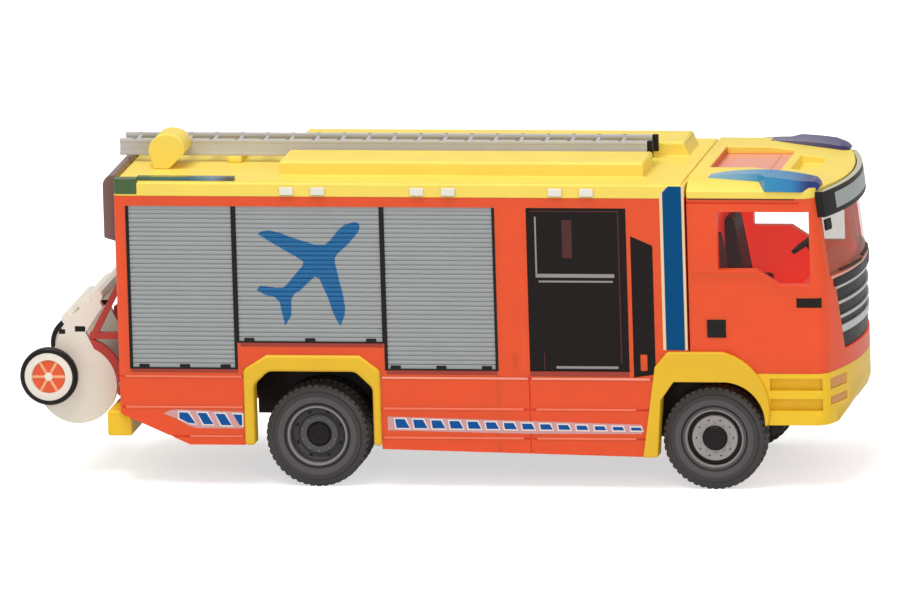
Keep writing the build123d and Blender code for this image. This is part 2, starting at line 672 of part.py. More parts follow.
# Floor pan above the rails, with a boss for a display plinth's screw behind the rear axle
pan_top = 13.4
pan_half = half_body - wall
pan_well = 6.6                 # inner side of the pan's wheel wells
screw_boss = 2.2
screw_hole = 1.0
boss_bottom = rail_bottom - 0.6
screw_x = rear_axle_x - 12.5
pan = block(chassis_rear, body_front - wall, -pan_half, pan_half, rail_top, pan_top)
pan -= both_sides(side_prism(rear_arch, pan_well, pan_half + past))
pan -= both_sides(curve_prism(front_arch_outer, pan_well, pan_half + past))
pan += Pos(screw_x, 0, (boss_bottom + rail_top) / 2) * Cylinder(screw_boss, rail_top - boss_bottom)
pan -= Pos(screw_x, 0, (boss_bottom + pan_top) / 2) * Cylinder(screw_hole, pan_top - boss_bottom)
save(pan, "floor_pan")

# Pedestal under the cab's floor
mount_reach = 4.5
save(block(cab_rear + wall, front_x - mount_reach, -rail_outer, rail_outer, rail_top, floor_height), "cab_mount")

# Fuel tank and silencer on the rails' outer sides
tank_rear = rear_axle_x + 12.5
tank_length = 8.5
tank_inner = rail_outer + 0.9
tank_outer = half_body - 2.8
tank_bottom = 7.4
tank_round = 0.9
silencer_length = 7.0
tank = block(tank_rear, tank_rear + tank_length, tank_inner, tank_outer, tank_bottom, rail_top)
tank = fillet(tank.edges().filter_by(Axis.X).group_by(Axis.Z)[0], tank_round)
save(tank, "fuel_tank")
silencer = block(tank_rear, tank_rear + silencer_length, -tank_outer, -tank_inner, tank_bottom + 0.2, rail_top)
silencer = fillet(silencer.edges().filter_by(Axis.X).group_by(Axis.Z)[0], 2 * tank_round)
save(silencer, "silencer")

# Driveline: a gearbox between the rails, a shaft and the casing about the rear axle
casing_radius = 2.0
casing_half = 1.0
gearbox_rear = front_axle_x - 7.0
gearbox_front = front_axle_x + 2.6
gearbox_half = 2.6
shaft_radius = 0.6
casing = across(rear_axle_x, axle_height, casing_radius, casing_half)
gearbox = side_prism([(gearbox_rear, axle_height + 1.6), (gearbox_front - 2.0, axle_height + 1.6),
                      (gearbox_front, rail_bottom), (gearbox_front, rail_top), (gearbox_rear, rail_top)],
                     -gearbox_half, gearbox_half)
shaft = rod((rear_axle_x + 1.0, 0, axle_height + 0.2), (gearbox_rear + past, 0, axle_height + 2.4), shaft_radius)
driveline = casing + shaft + gearbox
for axle_x in (rear_axle_x, front_axle_x):
    driveline -= across(axle_x, axle_height, bore, gearbox_half)
save(driveline, "driveline")

# Black mud flaps under the bumper's rear ends, hung from the cab
flap_width = 1.8
flap_outer = half_cab - bumper_wall
flap_inner = flap_outer - flap_width
flap_bottom = bumper_bottom - 1.7
flap = side_prism(from_axle(front_axle_x + front_arch_front, [
    (0.0, flap_bottom), (1.3, flap_bottom + 0.4), (1.9, bumper_bottom), (1.2, bumper_bottom),
    (1.2, cab_bottom - 0.4), (0.6, cab_bottom - 0.4), (0.6, bumper_bottom), (0.0, bumper_bottom)]),
    flap_inner, flap_outer)
save(both_sides(flap), "mud_flaps")

# Wheels: the axle with its two hubs turns as one with both rims and tyres
twin_gap = 0.55                # half of the gap between a twin pair, at the tread
twin_depth = 1.2               # bottom of the gap above the rim
shoulder_width = 0.4
bead = 0.35                    # how far the rim's edge lies inside the tyre's side
bulge_height = 0.5
lip_width = 0.4
dish_slope = 0.35
hole_count = 8
hole_radius = 0.42
hole_depth = 1.2


def turned(points):
    """A ring turned about the axle from (y, radius) points."""
    return revolve(make_face(Polyline(*[(0, y, r) for y, r in points], close=True)), axis=Axis.Y)


def tyre(width):
    """One tyre, or a twin pair with a gap between its treads."""
    inner = wheel_face - width
    points = [(wheel_face - bead, rim_radius), (wheel_face, rim_radius + bulge_height),
              (wheel_face - shoulder_width, tyre_radius)]
    if width > front_tyre_width:
        middle = wheel_face - width / 2
        root = rim_radius + twin_depth
        points += [(middle + twin_gap, tyre_radius), (middle, root), (middle - twin_gap, tyre_radius)]
    points += [(inner + shoulder_width, tyre_radius), (inner, rim_radius)]
    return turned(points)


def rim(width, dish):
    """A dished rim with hand holes round its disc."""
    outer = wheel_face - bead
    disc = outer - dish
    body = turned([(outer, rim_radius), (outer, rim_radius - lip_width), (disc, rim_radius - lip_width - dish_slope),
                   (disc + 0.2, hub_radius), (wheel_face - width, hub_radius), (wheel_face - width, rim_radius)])
    hole_circle = (hub_radius + rim_radius - lip_width - dish_slope) / 2
    hole = Pos(0, disc, hole_circle) * Rot(90, 0, 0) * extrude(RegularPolygon(hole_radius, 6), hole_depth / 2, both=True)
    return body - [Rot(0, i * 360 / hole_count, 0) * hole for i in range(hole_count)]


hub_proud = 0.55
hub_edge = 0.3
front_dish = 0.5
rear_dish = 1.3
wheel_pairs = [                # name, axle, tyre width, dish
    ("front", front_axle_x, front_tyre_width, front_dish),
    ("rear", rear_axle_x, rear_tyre_width, rear_dish),
]
for name, x, width, dish in wheel_pairs:
    place = Pos(x, 0, axle_height)
    disc = wheel_face - bead - dish
    hub = turned([(wheel_face - width, 0), (disc + hub_proud, 0), (disc + hub_proud, hub_radius - hub_edge),
                  (disc + hub_proud - hub_edge, hub_radius), (wheel_face - width, hub_radius)])
    pin = Rot(90, 0, 0) * Cylinder(axle_radius, 2 * (wheel_face - width))
    save(place * (pin + hub + mirror(hub, about=Plane.XZ)), f"{name}_axle")
    for kind, piece in (("rim", rim(width, dish)), ("tyre", tyre(width))):
        for side, solid in zip(("left", "right"), both_sides(piece)):
            save(place * solid, f"{name}_{kind}_{side}")

# Hose reel trolley, carried on a red rack at the rear
reel_wheel_radius = 3.55
reel_tyre_depth = 0.6
reel_wheel_x = body_rear - reel_reach + reel_wheel_radius
reel_wheel_z = 12.7
reel_wheel_face = 10.6
reel_wheel_width = 1.3
reel_pin = 0.5
cheek_radius = 4.9
cheek_face = 8.4
cheek_width = 0.9
reel_x = body_rear - 6.3
reel_z = 11.4
hose_radius = 3.2
hose_offset = 0.7              # the winding lies ahead of the cheeks' middle, clear of the pin


def from_reel(points):
    """Side points given from the cheeks' centre."""
    return [(reel_x + x, reel_z + z) for x, z in points]


# Cream frame: two round cheeks that rise to a slanting edge with three lugs and two slots
frame_web = [(-3.4, 2.9), (-1.2, 8.0), (2.8, 11.0), (3.4, 9.6), (1.2, 6.4), (2.6, 3.6)]
frame_slots = [(-2.1, -1.3, 6.2, 6.8), (-0.1, 1.2, 6.5, 7.2)]      # rear, front, bottom, top
frame_lugs = [(-1.0, 8.1), (1.2, 9.7), (2.7, 10.9)]
lug_radius = 0.75
lug_sides = 8
cheeks = side_prism(from_reel(frame_web), -cheek_face, cheek_face) + across(reel_x, reel_z, cheek_radius, cheek_face)
for x0, x1, z0, z1 in frame_slots:
    cheeks -= block(reel_x + x0, reel_x + x1, -cheek_face, cheek_face, reel_z + z0, reel_z + z1)
cheeks -= block(reel_x - reel_reach, body_rear, cheek_width - cheek_face, cheek_face - cheek_width, 0, orange_top)
lug_bar = extrude(RegularPolygon(lug_radius, lug_sides), cheek_face, both=True)
reel_frame = cheeks + [Pos(x, 0, z) * Rot(90, 0, 0) * lug_bar for x, z in from_reel(frame_lugs)]
reel_frame -= across(reel_wheel_x, reel_wheel_z, reel_pin + bearing_clearance, cheek_face)
save(reel_frame, "reel_frame")
save(across(reel_x + hose_offset, reel_z, hose_radius, cheek_face - cheek_width), "reel_hose")

# Its wheels: two discs on one pin, with black tyres
disc_radius = reel_wheel_radius - reel_tyre_depth
disc_place = Pos(reel_wheel_x, reel_wheel_face - reel_wheel_width / 2, reel_wheel_z) * Rot(90, 0, 0)
disc = disc_place * Cylinder(disc_radius, reel_wheel_width)
ring = disc_place * (Cylinder(reel_wheel_radius, reel_wheel_width) - Cylinder(disc_radius, reel_wheel_width))
save(across(reel_wheel_x, reel_wheel_z, reel_pin, reel_wheel_face) + both_sides(disc), "reel_wheels")
save(both_sides(ring), "reel_tyres")

# Red rack: on each side a strut from the body, a level bar and an arm that hugs the cheek
arm_thickness = 1.0
strut_top = 25.9
strut_depth = 1.4
strut_width = 0.9
bar_half = 0.4
rack_inner = cheek_face - cheek_width
strut_x, strut_z = from_reel([(1.7, 6.0)])[0]
strut = side_prism([(body_rear, strut_top), (body_rear, strut_top - strut_depth), (strut_x + strut_width, strut_z),
                    (strut_x, strut_z)], rack_inner, cheek_face)
bar = block(strut_x, body_rear, rack_inner, cheek_face, strut_z - bar_half, strut_z + bar_half)
arm_ring = across(reel_x, reel_z, cheek_radius + arm_thickness, cheek_face) - across(
    reel_x, reel_z, cheek_radius, cheek_face)
arm_reach = body_rear - reel_x
arm = arm_ring & side_prism(from_reel([(0, 0), (arm_reach, 0.9), (arm_reach, strut_z - reel_z), (1.2, strut_z - reel_z)]),
                            rack_inner, cheek_face)
save(both_sides(strut + bar + arm - reel_frame), "reel_rack")
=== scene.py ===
import json
import math

import bmesh
import bpy
from mathutils import Matrix, Vector

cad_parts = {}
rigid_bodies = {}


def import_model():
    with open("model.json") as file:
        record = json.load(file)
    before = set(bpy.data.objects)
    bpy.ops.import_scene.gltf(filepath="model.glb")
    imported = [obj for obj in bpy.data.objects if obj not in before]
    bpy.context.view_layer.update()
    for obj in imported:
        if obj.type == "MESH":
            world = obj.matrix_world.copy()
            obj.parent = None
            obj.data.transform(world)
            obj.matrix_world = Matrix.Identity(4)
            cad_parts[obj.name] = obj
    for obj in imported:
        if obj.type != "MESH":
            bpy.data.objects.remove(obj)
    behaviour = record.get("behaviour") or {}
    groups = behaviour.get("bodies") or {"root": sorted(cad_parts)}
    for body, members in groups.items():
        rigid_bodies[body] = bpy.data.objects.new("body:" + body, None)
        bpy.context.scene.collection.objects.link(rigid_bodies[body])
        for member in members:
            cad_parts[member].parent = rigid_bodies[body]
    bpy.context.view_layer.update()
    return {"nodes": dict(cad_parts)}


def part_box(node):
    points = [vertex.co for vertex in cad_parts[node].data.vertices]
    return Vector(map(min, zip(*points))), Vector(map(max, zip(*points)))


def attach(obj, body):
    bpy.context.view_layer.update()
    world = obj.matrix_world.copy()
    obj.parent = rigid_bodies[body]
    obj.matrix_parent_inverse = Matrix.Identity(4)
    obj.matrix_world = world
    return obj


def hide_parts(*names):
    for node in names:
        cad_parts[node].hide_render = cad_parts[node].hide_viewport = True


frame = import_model()
nodes = frame["nodes"]
mm = 0.001

# Viewpoint, table and light.
# The model stands on a pale sheet under large soft lamps and is seen from its right side,
# a little from the front and from above, through a long lens.
azimuth = math.radians(10.2)
elevation = math.radians(11.5)
roll = math.radians(1.7)
camera_distance = 3.0
aim = Vector((0.2, 0.0, 20.4)) * mm
pixels_per_mm = 8.216
picture_width = 900

back = Vector((math.sin(azimuth) * math.cos(elevation), -math.cos(azimuth) * math.cos(elevation),
               math.sin(elevation)))
level = Vector((math.cos(azimuth), math.sin(azimuth), 0))
right = level * math.cos(roll) - back.cross(level) * math.sin(roll)
up = back.cross(right)
lens = bpy.data.cameras.new("long_lens")
lens.sensor_width = 36
lens.lens = pixels_per_mm * lens.sensor_width * camera_distance / mm / picture_width
lens.clip_start = 0.05
lens.clip_end = 10
camera = bpy.data.objects.new("viewpoint", lens)
camera.matrix_world = Matrix.Translation(aim + back * camera_distance) @ Matrix(
    (right, up, back)).transposed().to_4x4()
bpy.context.scene.collection.objects.link(camera)
bpy.context.scene.camera = camera
bpy.context.scene.view_settings.view_transform = "Standard"


def soft_lamp(name, place, size, watts, tint=(1, 1, 1)):
    lamp = bpy.data.lights.new(name, "AREA")
    lamp.shape = "DISK"
    lamp.size = size
    lamp.energy = watts
    lamp.color = tint
    holder = bpy.data.objects.new(name, lamp)
    holder.location = place
    holder.rotation_euler = (aim - Vector(place)).to_track_quat("-Z", "Y").to_euler()
    bpy.context.scene.collection.objects.link(holder)


soft_lamp("overhead_lamp", (-0.10, -0.15, 0.60), 0.45, 2.6)
soft_lamp("front_lamp", (0.30, -0.60, 0.25), 0.40, 1.0)

world = bpy.data.worlds.new("pale_room")
world.use_nodes = True
bpy.context.scene.world = world
tree = world.node_tree
tree.nodes.clear()
seen = tree.nodes.new("ShaderNodeBackground")
seen.inputs["Color"].default_value = (1, 1, 1, 1)
seen.inputs["Strength"].default_value = 1.0
fill = tree.nodes.new("ShaderNodeBackground")
fill.inputs["Color"].default_value = (1.0, 0.99, 0.97, 1)
fill.inputs["Strength"].default_value = 0.5
rays = tree.nodes.new("ShaderNodeLightPath")
mix = tree.nodes.new("ShaderNodeMixShader")
out = tree.nodes.new("ShaderNodeOutputWorld")
tree.links.new(rays.outputs["Is Camera Ray"], mix.inputs["Fac"])
tree.links.new(fill.outputs[0], mix.inputs[1])
tree.links.new(seen.outputs[0], mix.inputs[2])
tree.links.new(mix.outputs[0], out.inputs["Surface"])

sheet_half = 3.0
sheet_mesh = bpy.data.meshes.new("table_sheet")
sheet_mesh.from_pydata([(-sheet_half, -sheet_half, 0), (sheet_half, -sheet_half, 0),
                        (sheet_half, sheet_half, 0), (-sheet_half, sheet_half, 0)], [], [(0, 1, 2, 3)])
table_sheet = bpy.data.objects.new("table_sheet", sheet_mesh)
bpy.context.scene.collection.objects.link(table_sheet)
paper = bpy.data.materials.new("white_paper")
paper.use_nodes = True
tree = paper.node_tree
tree.nodes.clear()
matt = tree.nodes.new("ShaderNodeBsdfDiffuse")
matt.inputs["Color"].default_value = (0.82, 0.82, 0.82, 1)
glow = tree.nodes.new("ShaderNodeEmission")
rays = tree.nodes.new("ShaderNodeLightPath")
lift = tree.nodes.new("ShaderNodeMath")
lift.operation = "MULTIPLY"
lift.inputs[1].default_value = 0.6
both = tree.nodes.new("ShaderNodeAddShader")
out = tree.nodes.new("ShaderNodeOutputMaterial")
tree.links.new(rays.outputs["Is Camera Ray"], lift.inputs[0])
tree.links.new(lift.outputs[0], glow.inputs["Strength"])
tree.links.new(matt.outputs[0], both.inputs[0])
tree.links.new(glow.outputs[0], both.inputs[1])
tree.links.new(both.outputs[0], out.inputs["Surface"])
table_sheet.data.materials.append(paper)

# Underside: frame rails, floor pan, cab mount, driveline, fuel tank, silencer and mud flaps.
# All are black plastic straight from the mould, with its dull grain and slightly round edges,
# and they clip together around the screw boss.


def moulded(name, colour, roughness=0.38, marbling=0.06, grain=0.03, grain_scale=9000, coat=0.0, shine=0.3):
    """Satin moulded plastic: a colour with faint marbling and the mould's fine grain."""
    material = bpy.data.materials.new(name)
    material.use_nodes = True
    tree = material.node_tree
    skin = tree.nodes["Principled BSDF"]
    skin.inputs["Specular IOR Level"].default_value = shine
    skin.inputs["Coat Weight"].default_value = coat
    skin.inputs["Coat Roughness"].default_value = 0.12
    place = tree.nodes.new("ShaderNodeTexCoord")
    flow = tree.nodes.new("ShaderNodeTexNoise")
    flow.inputs["Scale"].default_value = 260
    flow.inputs["Detail"].default_value = 3
    tones = tree.nodes.new("ShaderNodeMix")
    tones.data_type = "RGBA"
    tones.inputs[6].default_value = (*[c * (1 - marbling) for c in colour], 1)
    tones.inputs[7].default_value = (*[min(1, c * (1 + marbling)) for c in colour], 1)
    sheen = tree.nodes.new("ShaderNodeMapRange")
    sheen.inputs["To Min"].default_value = roughness * 0.85
    sheen.inputs["To Max"].default_value = roughness * 1.15
    fine = tree.nodes.new("ShaderNodeTexNoise")
    fine.inputs["Scale"].default_value = grain_scale
    bump = tree.nodes.new("ShaderNodeBump")
    bump.inputs["Strength"].default_value = grain
    bump.inputs["Distance"].default_value = 0.05 * mm
    tree.links.new(place.outputs["Object"], flow.inputs["Vector"])
    tree.links.new(place.outputs["Object"], fine.inputs["Vector"])
    tree.links.new(flow.outputs["Fac"], tones.inputs[0])
    tree.links.new(flow.outputs["Fac"], sheen.inputs["Value"])
    tree.links.new(tones.outputs[2], skin.inputs["Base Color"])
    tree.links.new(sheen.outputs[0], skin.inputs["Roughness"])
    tree.links.new(fine.outputs["Fac"], bump.inputs["Height"])
    tree.links.new(bump.outputs["Normal"], skin.inputs["Normal"])
    return material


def dress(material, *names):
    """Gives CAD nodes that keep their own form their finish."""
    for name in names:
        mesh = nodes[name].data
        mesh.materials.clear()
        mesh.materials.append(material)
        for face in mesh.polygons:
            face.material_index = 0


def body_of(name):
    return nodes[name].parent.name.split(":")[1]


def fitted(name, shape, material, body, *replaced, smooth=38):
    """Makes a bmesh or a mesh a piece of the model that rides on a body and may stand for CAD nodes."""
    if isinstance(shape, bmesh.types.BMesh):
        mesh = bpy.data.meshes.new(name)
        shape.to_mesh(mesh)
        shape.free()
    else:
        mesh = shape
    if not mesh.materials:
        mesh.materials.append(material)
    mesh.shade_smooth()
    mesh.set_sharp_from_angle(angle=math.radians(smooth))
    piece = bpy.data.objects.new(name, mesh)
    bpy.context.scene.collection.objects.link(piece)
    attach(piece, body)
    if replaced:
        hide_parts(*replaced)
    return piece


def plain_mesh(piece):
    """The mesh that a piece's modifiers leave, with the modifiers taken off."""
    bpy.context.view_layer.update()
    mesh = bpy.data.meshes.new_from_object(piece.evaluated_get(bpy.context.evaluated_depsgraph_get()))
    piece.modifiers.clear()
    return mesh


def softened(name, node, material, width=0.12, angle=38, steps=2, dissolve=True):
    """A CAD node's own form in one skin, with the edges that the mould leaves slightly round."""
    form = bmesh.new()
    form.from_mesh(nodes[node].data)
    bmesh.ops.remove_doubles(form, verts=form.verts, dist=0.003 * mm)
    if dissolve:
        bmesh.ops.dissolve_limit(form, angle_limit=math.radians(1.5), verts=form.verts, edges=form.edges)
    for face in form.faces:
        face.material_index = 0
    mesh = bpy.data.meshes.new(name)
    form.to_mesh(mesh)
    form.free()
    mesh.materials.append(material)
    mesh.shade_smooth()
    blank = bpy.data.objects.new(name + "_blank", mesh)
    bpy.context.scene.collection.objects.link(blank)
    bevel = blank.modifiers.new("round_edges", "BEVEL")
    bevel.width = width * mm
    bevel.segments = steps
    bevel.limit_method = "ANGLE"
    bevel.angle_limit = math.radians(angle)
    bevel.miter_outer = "MITER_ARC"
    flat = blank.modifiers.new("flat_faces", "WEIGHTED_NORMAL")
    flat.keep_sharp = True
    finished = plain_mesh(blank)
    bpy.data.objects.remove(blank)
    piece = bpy.data.objects.new(name, finished)
    bpy.context.scene.collection.objects.link(piece)
    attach(piece, body_of(node))
    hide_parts(node)
    return piece


black = moulded("black", (0.012, 0.010, 0.010), 0.42, shine=0.2)
dress(black, "chassis", "floor_pan", "cab_mount", "driveline")
softened("tank_moulding", "fuel_tank", black, 0.15)
softened("silencer_moulding", "silencer", black, 0.15)
softened("flap_mouldings", "mud_flaps", black, 0.08)

# Tyres: black vinyl rings pushed over the rims, singles in front and twin pairs behind.
# A pale moulded band runs round each side, the shoulders carry blocks and the tread has grooves.
front_axle = (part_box("front_axle")[0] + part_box("front_axle")[1]) / 2 / mm
rear_axle = (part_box("rear_axle")[0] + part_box("rear_axle")[1]) / 2 / mm
tyre_radius = 6.3
rim_radius = 3.95
wheel_face = 13.9
front_tyre_width = 3.5
twin_tyre_width = 3.1
rear_tyre_width = 6.6
block_count = 46
block_height = 0.07
block_inset = 0.32
block_width = 0.72
block_length = 0.54


def turned(profile, steps=96):
    """A closed ring about the Y axis from (y, radius) points, with its middle at the origin."""
    form = bmesh.new()
    rings = []
    for i in range(steps):
        angle = 2 * math.pi * i / steps
        rings.append([form.verts.new((r * math.sin(angle) * mm, y * mm, r * math.cos(angle) * mm))
                      for y, r in profile])
    count = len(profile)
    for i in range(steps):
        here, there = rings[i], rings[(i + 1) % steps]
        for j in range(count):
            form.faces.new((here[j], here[(j + 1) % count], there[(j + 1) % count], there[j]))
    bmesh.ops.remove_doubles(form, verts=form.verts, dist=0.001 * mm)
    bmesh.ops.recalc_face_normals(form, faces=form.faces)
    return form


def prism(form, outline, y0, y1):
    """Adds a plate with a side outline of (x, z) points between two depths."""
    near = [form.verts.new((x * mm, y0 * mm, z * mm)) for x, z in outline]
    far = [form.verts.new((x * mm, y1 * mm, z * mm)) for x, z in outline]
    count = len(outline)
    faces = [form.faces.new(near), form.faces.new(far[::-1])]
    for i in range(count):
        faces.append(form.faces.new((near[i], far[i], far[(i + 1) % count], near[(i + 1) % count])))
    bmesh.ops.recalc_face_normals(form, faces=faces)
    return faces


def brick(form, x0, x1, y0, y1, z0, z1, edge=0.0):
    """Adds a block, with its edges bevelled where an edge width is given."""
    faces = prism(form, [(x0, z0), (x1, z0), (x1, z1), (x0, z1)], y0, y1)
    if edge:
        edges = list({e for f in faces for e in f.edges})
        bmesh.ops.bevel(form, geom=edges, offset=edge * mm, segments=2, profile=0.5, affect="EDGES")


def paired(form, x0, x1, near, far, z0, z1, edge=0.0):
    """Adds a block on each side of the model, between two depths from its middle."""
    for sign in (1, -1):
        y0, y1 = sorted((sign * near, sign * far))
        brick(form, x0, x1, y0, y1, z0, z1, edge)


def moved(form, x, y, z):
    bmesh.ops.translate(form, verts=form.verts, vec=Vector((x, y, z)) * mm)
    return form


def joined(*forms):
    """One bmesh from several bmeshes or meshes."""
    whole = bmesh.new()
    for form in forms:
        if isinstance(form, bmesh.types.BMesh):
            mesh = bpy.data.meshes.new("joined")
            form.to_mesh(mesh)
            form.free()
        else:
            mesh = form
        whole.from_mesh(mesh)
        bpy.data.meshes.remove(mesh)
    return whole


copies_tree = bpy.data.node_groups.new("even_copies", "GeometryNodeTree")
for socket_name, kind in (("Copy", "NodeSocketGeometry"), ("Count", "NodeSocketInt"),
                          ("First Place", "NodeSocketVector"), ("Step", "NodeSocketVector"),
                          ("Turn", "NodeSocketFloat"), ("Finish", "NodeSocketMaterial")):
    copies_tree.interface.new_socket(socket_name, in_out="INPUT", socket_type=kind)
copies_tree.interface.new_socket("Copies", in_out="OUTPUT", socket_type="NodeSocketGeometry")
given = copies_tree.nodes.new("NodeGroupInput")
places = copies_tree.nodes.new("GeometryNodeMeshLine")
number = copies_tree.nodes.new("GeometryNodeInputIndex")
turning = copies_tree.nodes.new("ShaderNodeMath")
turning.operation = "MULTIPLY"
about_axle = copies_tree.nodes.new("ShaderNodeCombineXYZ")
copying = copies_tree.nodes.new("GeometryNodeInstanceOnPoints")
solid = copies_tree.nodes.new("GeometryNodeRealizeInstances")
painted = copies_tree.nodes.new("GeometryNodeSetMaterial")
result = copies_tree.nodes.new("NodeGroupOutput")
copies_tree.links.new(given.outputs["Count"], places.inputs["Count"])
copies_tree.links.new(given.outputs["First Place"], places.inputs["Start Location"])
copies_tree.links.new(given.outputs["Step"], places.inputs["Offset"])
copies_tree.links.new(number.outputs[0], turning.inputs[0])
copies_tree.links.new(given.outputs["Turn"], turning.inputs[1])
copies_tree.links.new(turning.outputs[0], about_axle.inputs["Y"])
copies_tree.links.new(places.outputs[0], copying.inputs["Points"])
copies_tree.links.new(given.outputs["Copy"], copying.inputs["Instance"])
copies_tree.links.new(about_axle.outputs[0], copying.inputs["Rotation"])
copies_tree.links.new(copying.outputs[0], solid.inputs[0])
copies_tree.links.new(solid.outputs[0], painted.inputs["Geometry"])
copies_tree.links.new(given.outputs["Finish"], painted.inputs["Material"])
copies_tree.links.new(painted.outputs[0], result.inputs[0])


def repeated(form, count, material, place=(0, 0, 0), step=(0, 0, 0), turn=0.0):
    """Copies of one small form along a row, or round the Y axis through the place, as a plain mesh."""
    mesh = bpy.data.meshes.new("copy")
    form.to_mesh(mesh)
    form.free()
    carrier = bpy.data.objects.new("copy", mesh)
    bpy.context.scene.collection.objects.link(carrier)
    copies = carrier.modifiers.new("copies", "NODES")
    copies.node_group = copies_tree
    values = {"Count": count, "First Place": Vector(place) * mm, "Step": Vector(step) * mm, "Turn": turn,
              "Finish": material}
    for item in copies_tree.interface.items_tree:
        if item.in_out == "INPUT" and item.name in values:
            copies[item.identifier] = values[item.name]
    finished = plain_mesh(carrier)
    bpy.data.objects.remove(carrier)
    return finished


def ring_of(form, count, material, place, start=0.0):
    """Copies of one form evenly round the axle line through a place."""
    bmesh.ops.rotate(form, verts=form.verts, cent=(0, 0, 0), matrix=Matrix.Rotation(start, 3, "Y"))
    return repeated(form, count, material, place, turn=2 * math.pi / count)


vinyl = bpy.data.materials.new("tyre")
vinyl.use_nodes = True
tree = vinyl.node_tree
skin = tree.nodes["Principled BSDF"]
place = tree.nodes.new("ShaderNodeTexCoord")
mottle = tree.nodes.new("ShaderNodeTexNoise")
mottle.inputs["Scale"].default_value = 900
mottle.inputs["Detail"].default_value = 4
tones = tree.nodes.new("ShaderNodeMix")
tones.data_type = "RGBA"
tones.inputs[6].default_value = (0.028, 0.026, 0.026, 1)
tones.inputs[7].default_value = (0.044, 0.041, 0.041, 1)
dull = tree.nodes.new("ShaderNodeMapRange")
dull.inputs["To Min"].default_value = 0.42
dull.inputs["To Max"].default_value = 0.6
pores = tree.nodes.new("ShaderNodeTexNoise")
pores.inputs["Scale"].default_value = 14000
bump = tree.nodes.new("ShaderNodeBump")
bump.inputs["Strength"].default_value = 0.12
bump.inputs["Distance"].default_value = 0.05 * mm
tree.links.new(place.outputs["Object"], mottle.inputs["Vector"])
tree.links.new(place.outputs["Object"], pores.inputs["Vector"])
tree.links.new(mottle.outputs["Fac"], tones.inputs[0])
tree.links.new(mottle.outputs["Fac"], dull.inputs["Value"])
tree.links.new(tones.outputs[2], skin.inputs["Base Color"])
tree.links.new(dull.outputs[0], skin.inputs["Roughness"])
tree.links.new(pores.outputs["Fac"], bump.inputs["Height"])
tree.links.new(bump.outputs["Normal"], skin.inputs["Normal"])


def tyre_profile(face, inner):
    """One tyre's cross section between its outer and inner side, bead to bead."""
    tread = tyre_radius - block_height
    outer = [(face - 0.35, rim_radius - 0.02), (face - 0.12, rim_radius + 0.14),
             (face - 0.10, rim_radius + 0.34), (face - 0.24, rim_radius + 0.42),
             (face - 0.12, rim_radius + 0.56), (face - 0.01, rim_radius + 0.80), (face, rim_radius + 1.20),
             (face - 0.03, rim_radius + 1.42), (face - 0.16, rim_radius + 1.50),
             (face - 0.13, rim_radius + 1.62), (face - 0.30, tread - 0.22), (face - 0.62, tread)]
    middle = (face + inner) / 2
    half = (face - inner) / 2
    grooves = []
    for across in (0.42, 0.0, -0.42):
        y = middle + across * half
        grooves += [(y + 0.15, tyre_radius - 0.03), (y + 0.11, tread), (y - 0.11, tread),
                    (y - 0.15, tyre_radius - 0.03)]
    crown = [(face - 0.95, tread), (face - 1.0, tyre_radius - 0.03)]
    far_crown = [(2 * middle - y, r) for y, r in crown[::-1]]
    return outer + crown + grooves + far_crown + [(2 * middle - y, r) for y, r in outer[::-1]]


band_vinyl = moulded("tyre", (0.085, 0.080, 0.082), 0.5, grain=0.1)
band_profile = [(wheel_face - 0.25, 4.08), (wheel_face - 0.06, 4.14), (wheel_face + 0.02, 4.4),
                (wheel_face + 0.02, 4.7), (wheel_face - 0.02, 4.88), (wheel_face - 0.2, 4.94)]
tyre_sets = [
    # front or rear, axle, outer face and inner face of each tyre
    ("front", front_axle, [(wheel_face, wheel_face - front_tyre_width)]),
    ("rear", rear_axle, [(wheel_face, wheel_face - twin_tyre_width),
                         (wheel_face - rear_tyre_width + twin_tyre_width, wheel_face - rear_tyre_width)]),
]
for end, axle, pair in tyre_sets:
    for side, sign in (("left", 1), ("right", -1)):
        forms = []
        for face, inner in pair:
            profile = [(sign * y, r) for y, r in tyre_profile(face, inner)]
            forms.append(moved(turned(profile), axle.x, 0, axle.z))
            for outer_edge, lead in ((face - block_inset, 0.0), (inner + block_inset + block_width, 0.5)):
                block = bmesh.new()
                y0, y1 = sorted((sign * outer_edge, sign * (outer_edge - block_width)))
                brick(block, -block_length / 2, block_length / 2, y0, y1, tyre_radius - 0.5,
                      tyre_radius - 0.004, 0.05)
                forms.append(ring_of(block, block_count, vinyl, (axle.x, 0, axle.z),
                                     lead * 2 * math.pi / block_count))
        node = f"{end}_tyre_{side}"
        fitted(f"{end}_tyre_moulding_{side}", joined(*forms), vinyl, body_of(node), node, smooth=32)
        band = turned([(sign * y, r) for y, r in band_profile])
        fitted(f"{end}_tyre_band_{side}", moved(band, axle.x, 0, axle.z), band_vinyl, body_of(node),
               smooth=45)

# The wheel wells are closed behind the tyres by thin black walls of the chassis moulding
well_wall = 0.4
well_top = 13.9
rear_well_face = 7.0
front_well_face = 9.8
wells = bmesh.new()
for axle, rear, front, face, low in (
        (rear_axle, -8.4, 7.8, rear_well_face, 7.7),
        (front_axle, -8.0, -1.4, front_well_face, 5.7),
        (front_axle, -1.6, 6.2, front_well_face, 8.0)):
    paired(wells, axle.x + rear, axle.x + front, face, face - well_wall, low, well_top, 0.05)
fitted("wheel_wells", wells, black, "root", smooth=35)

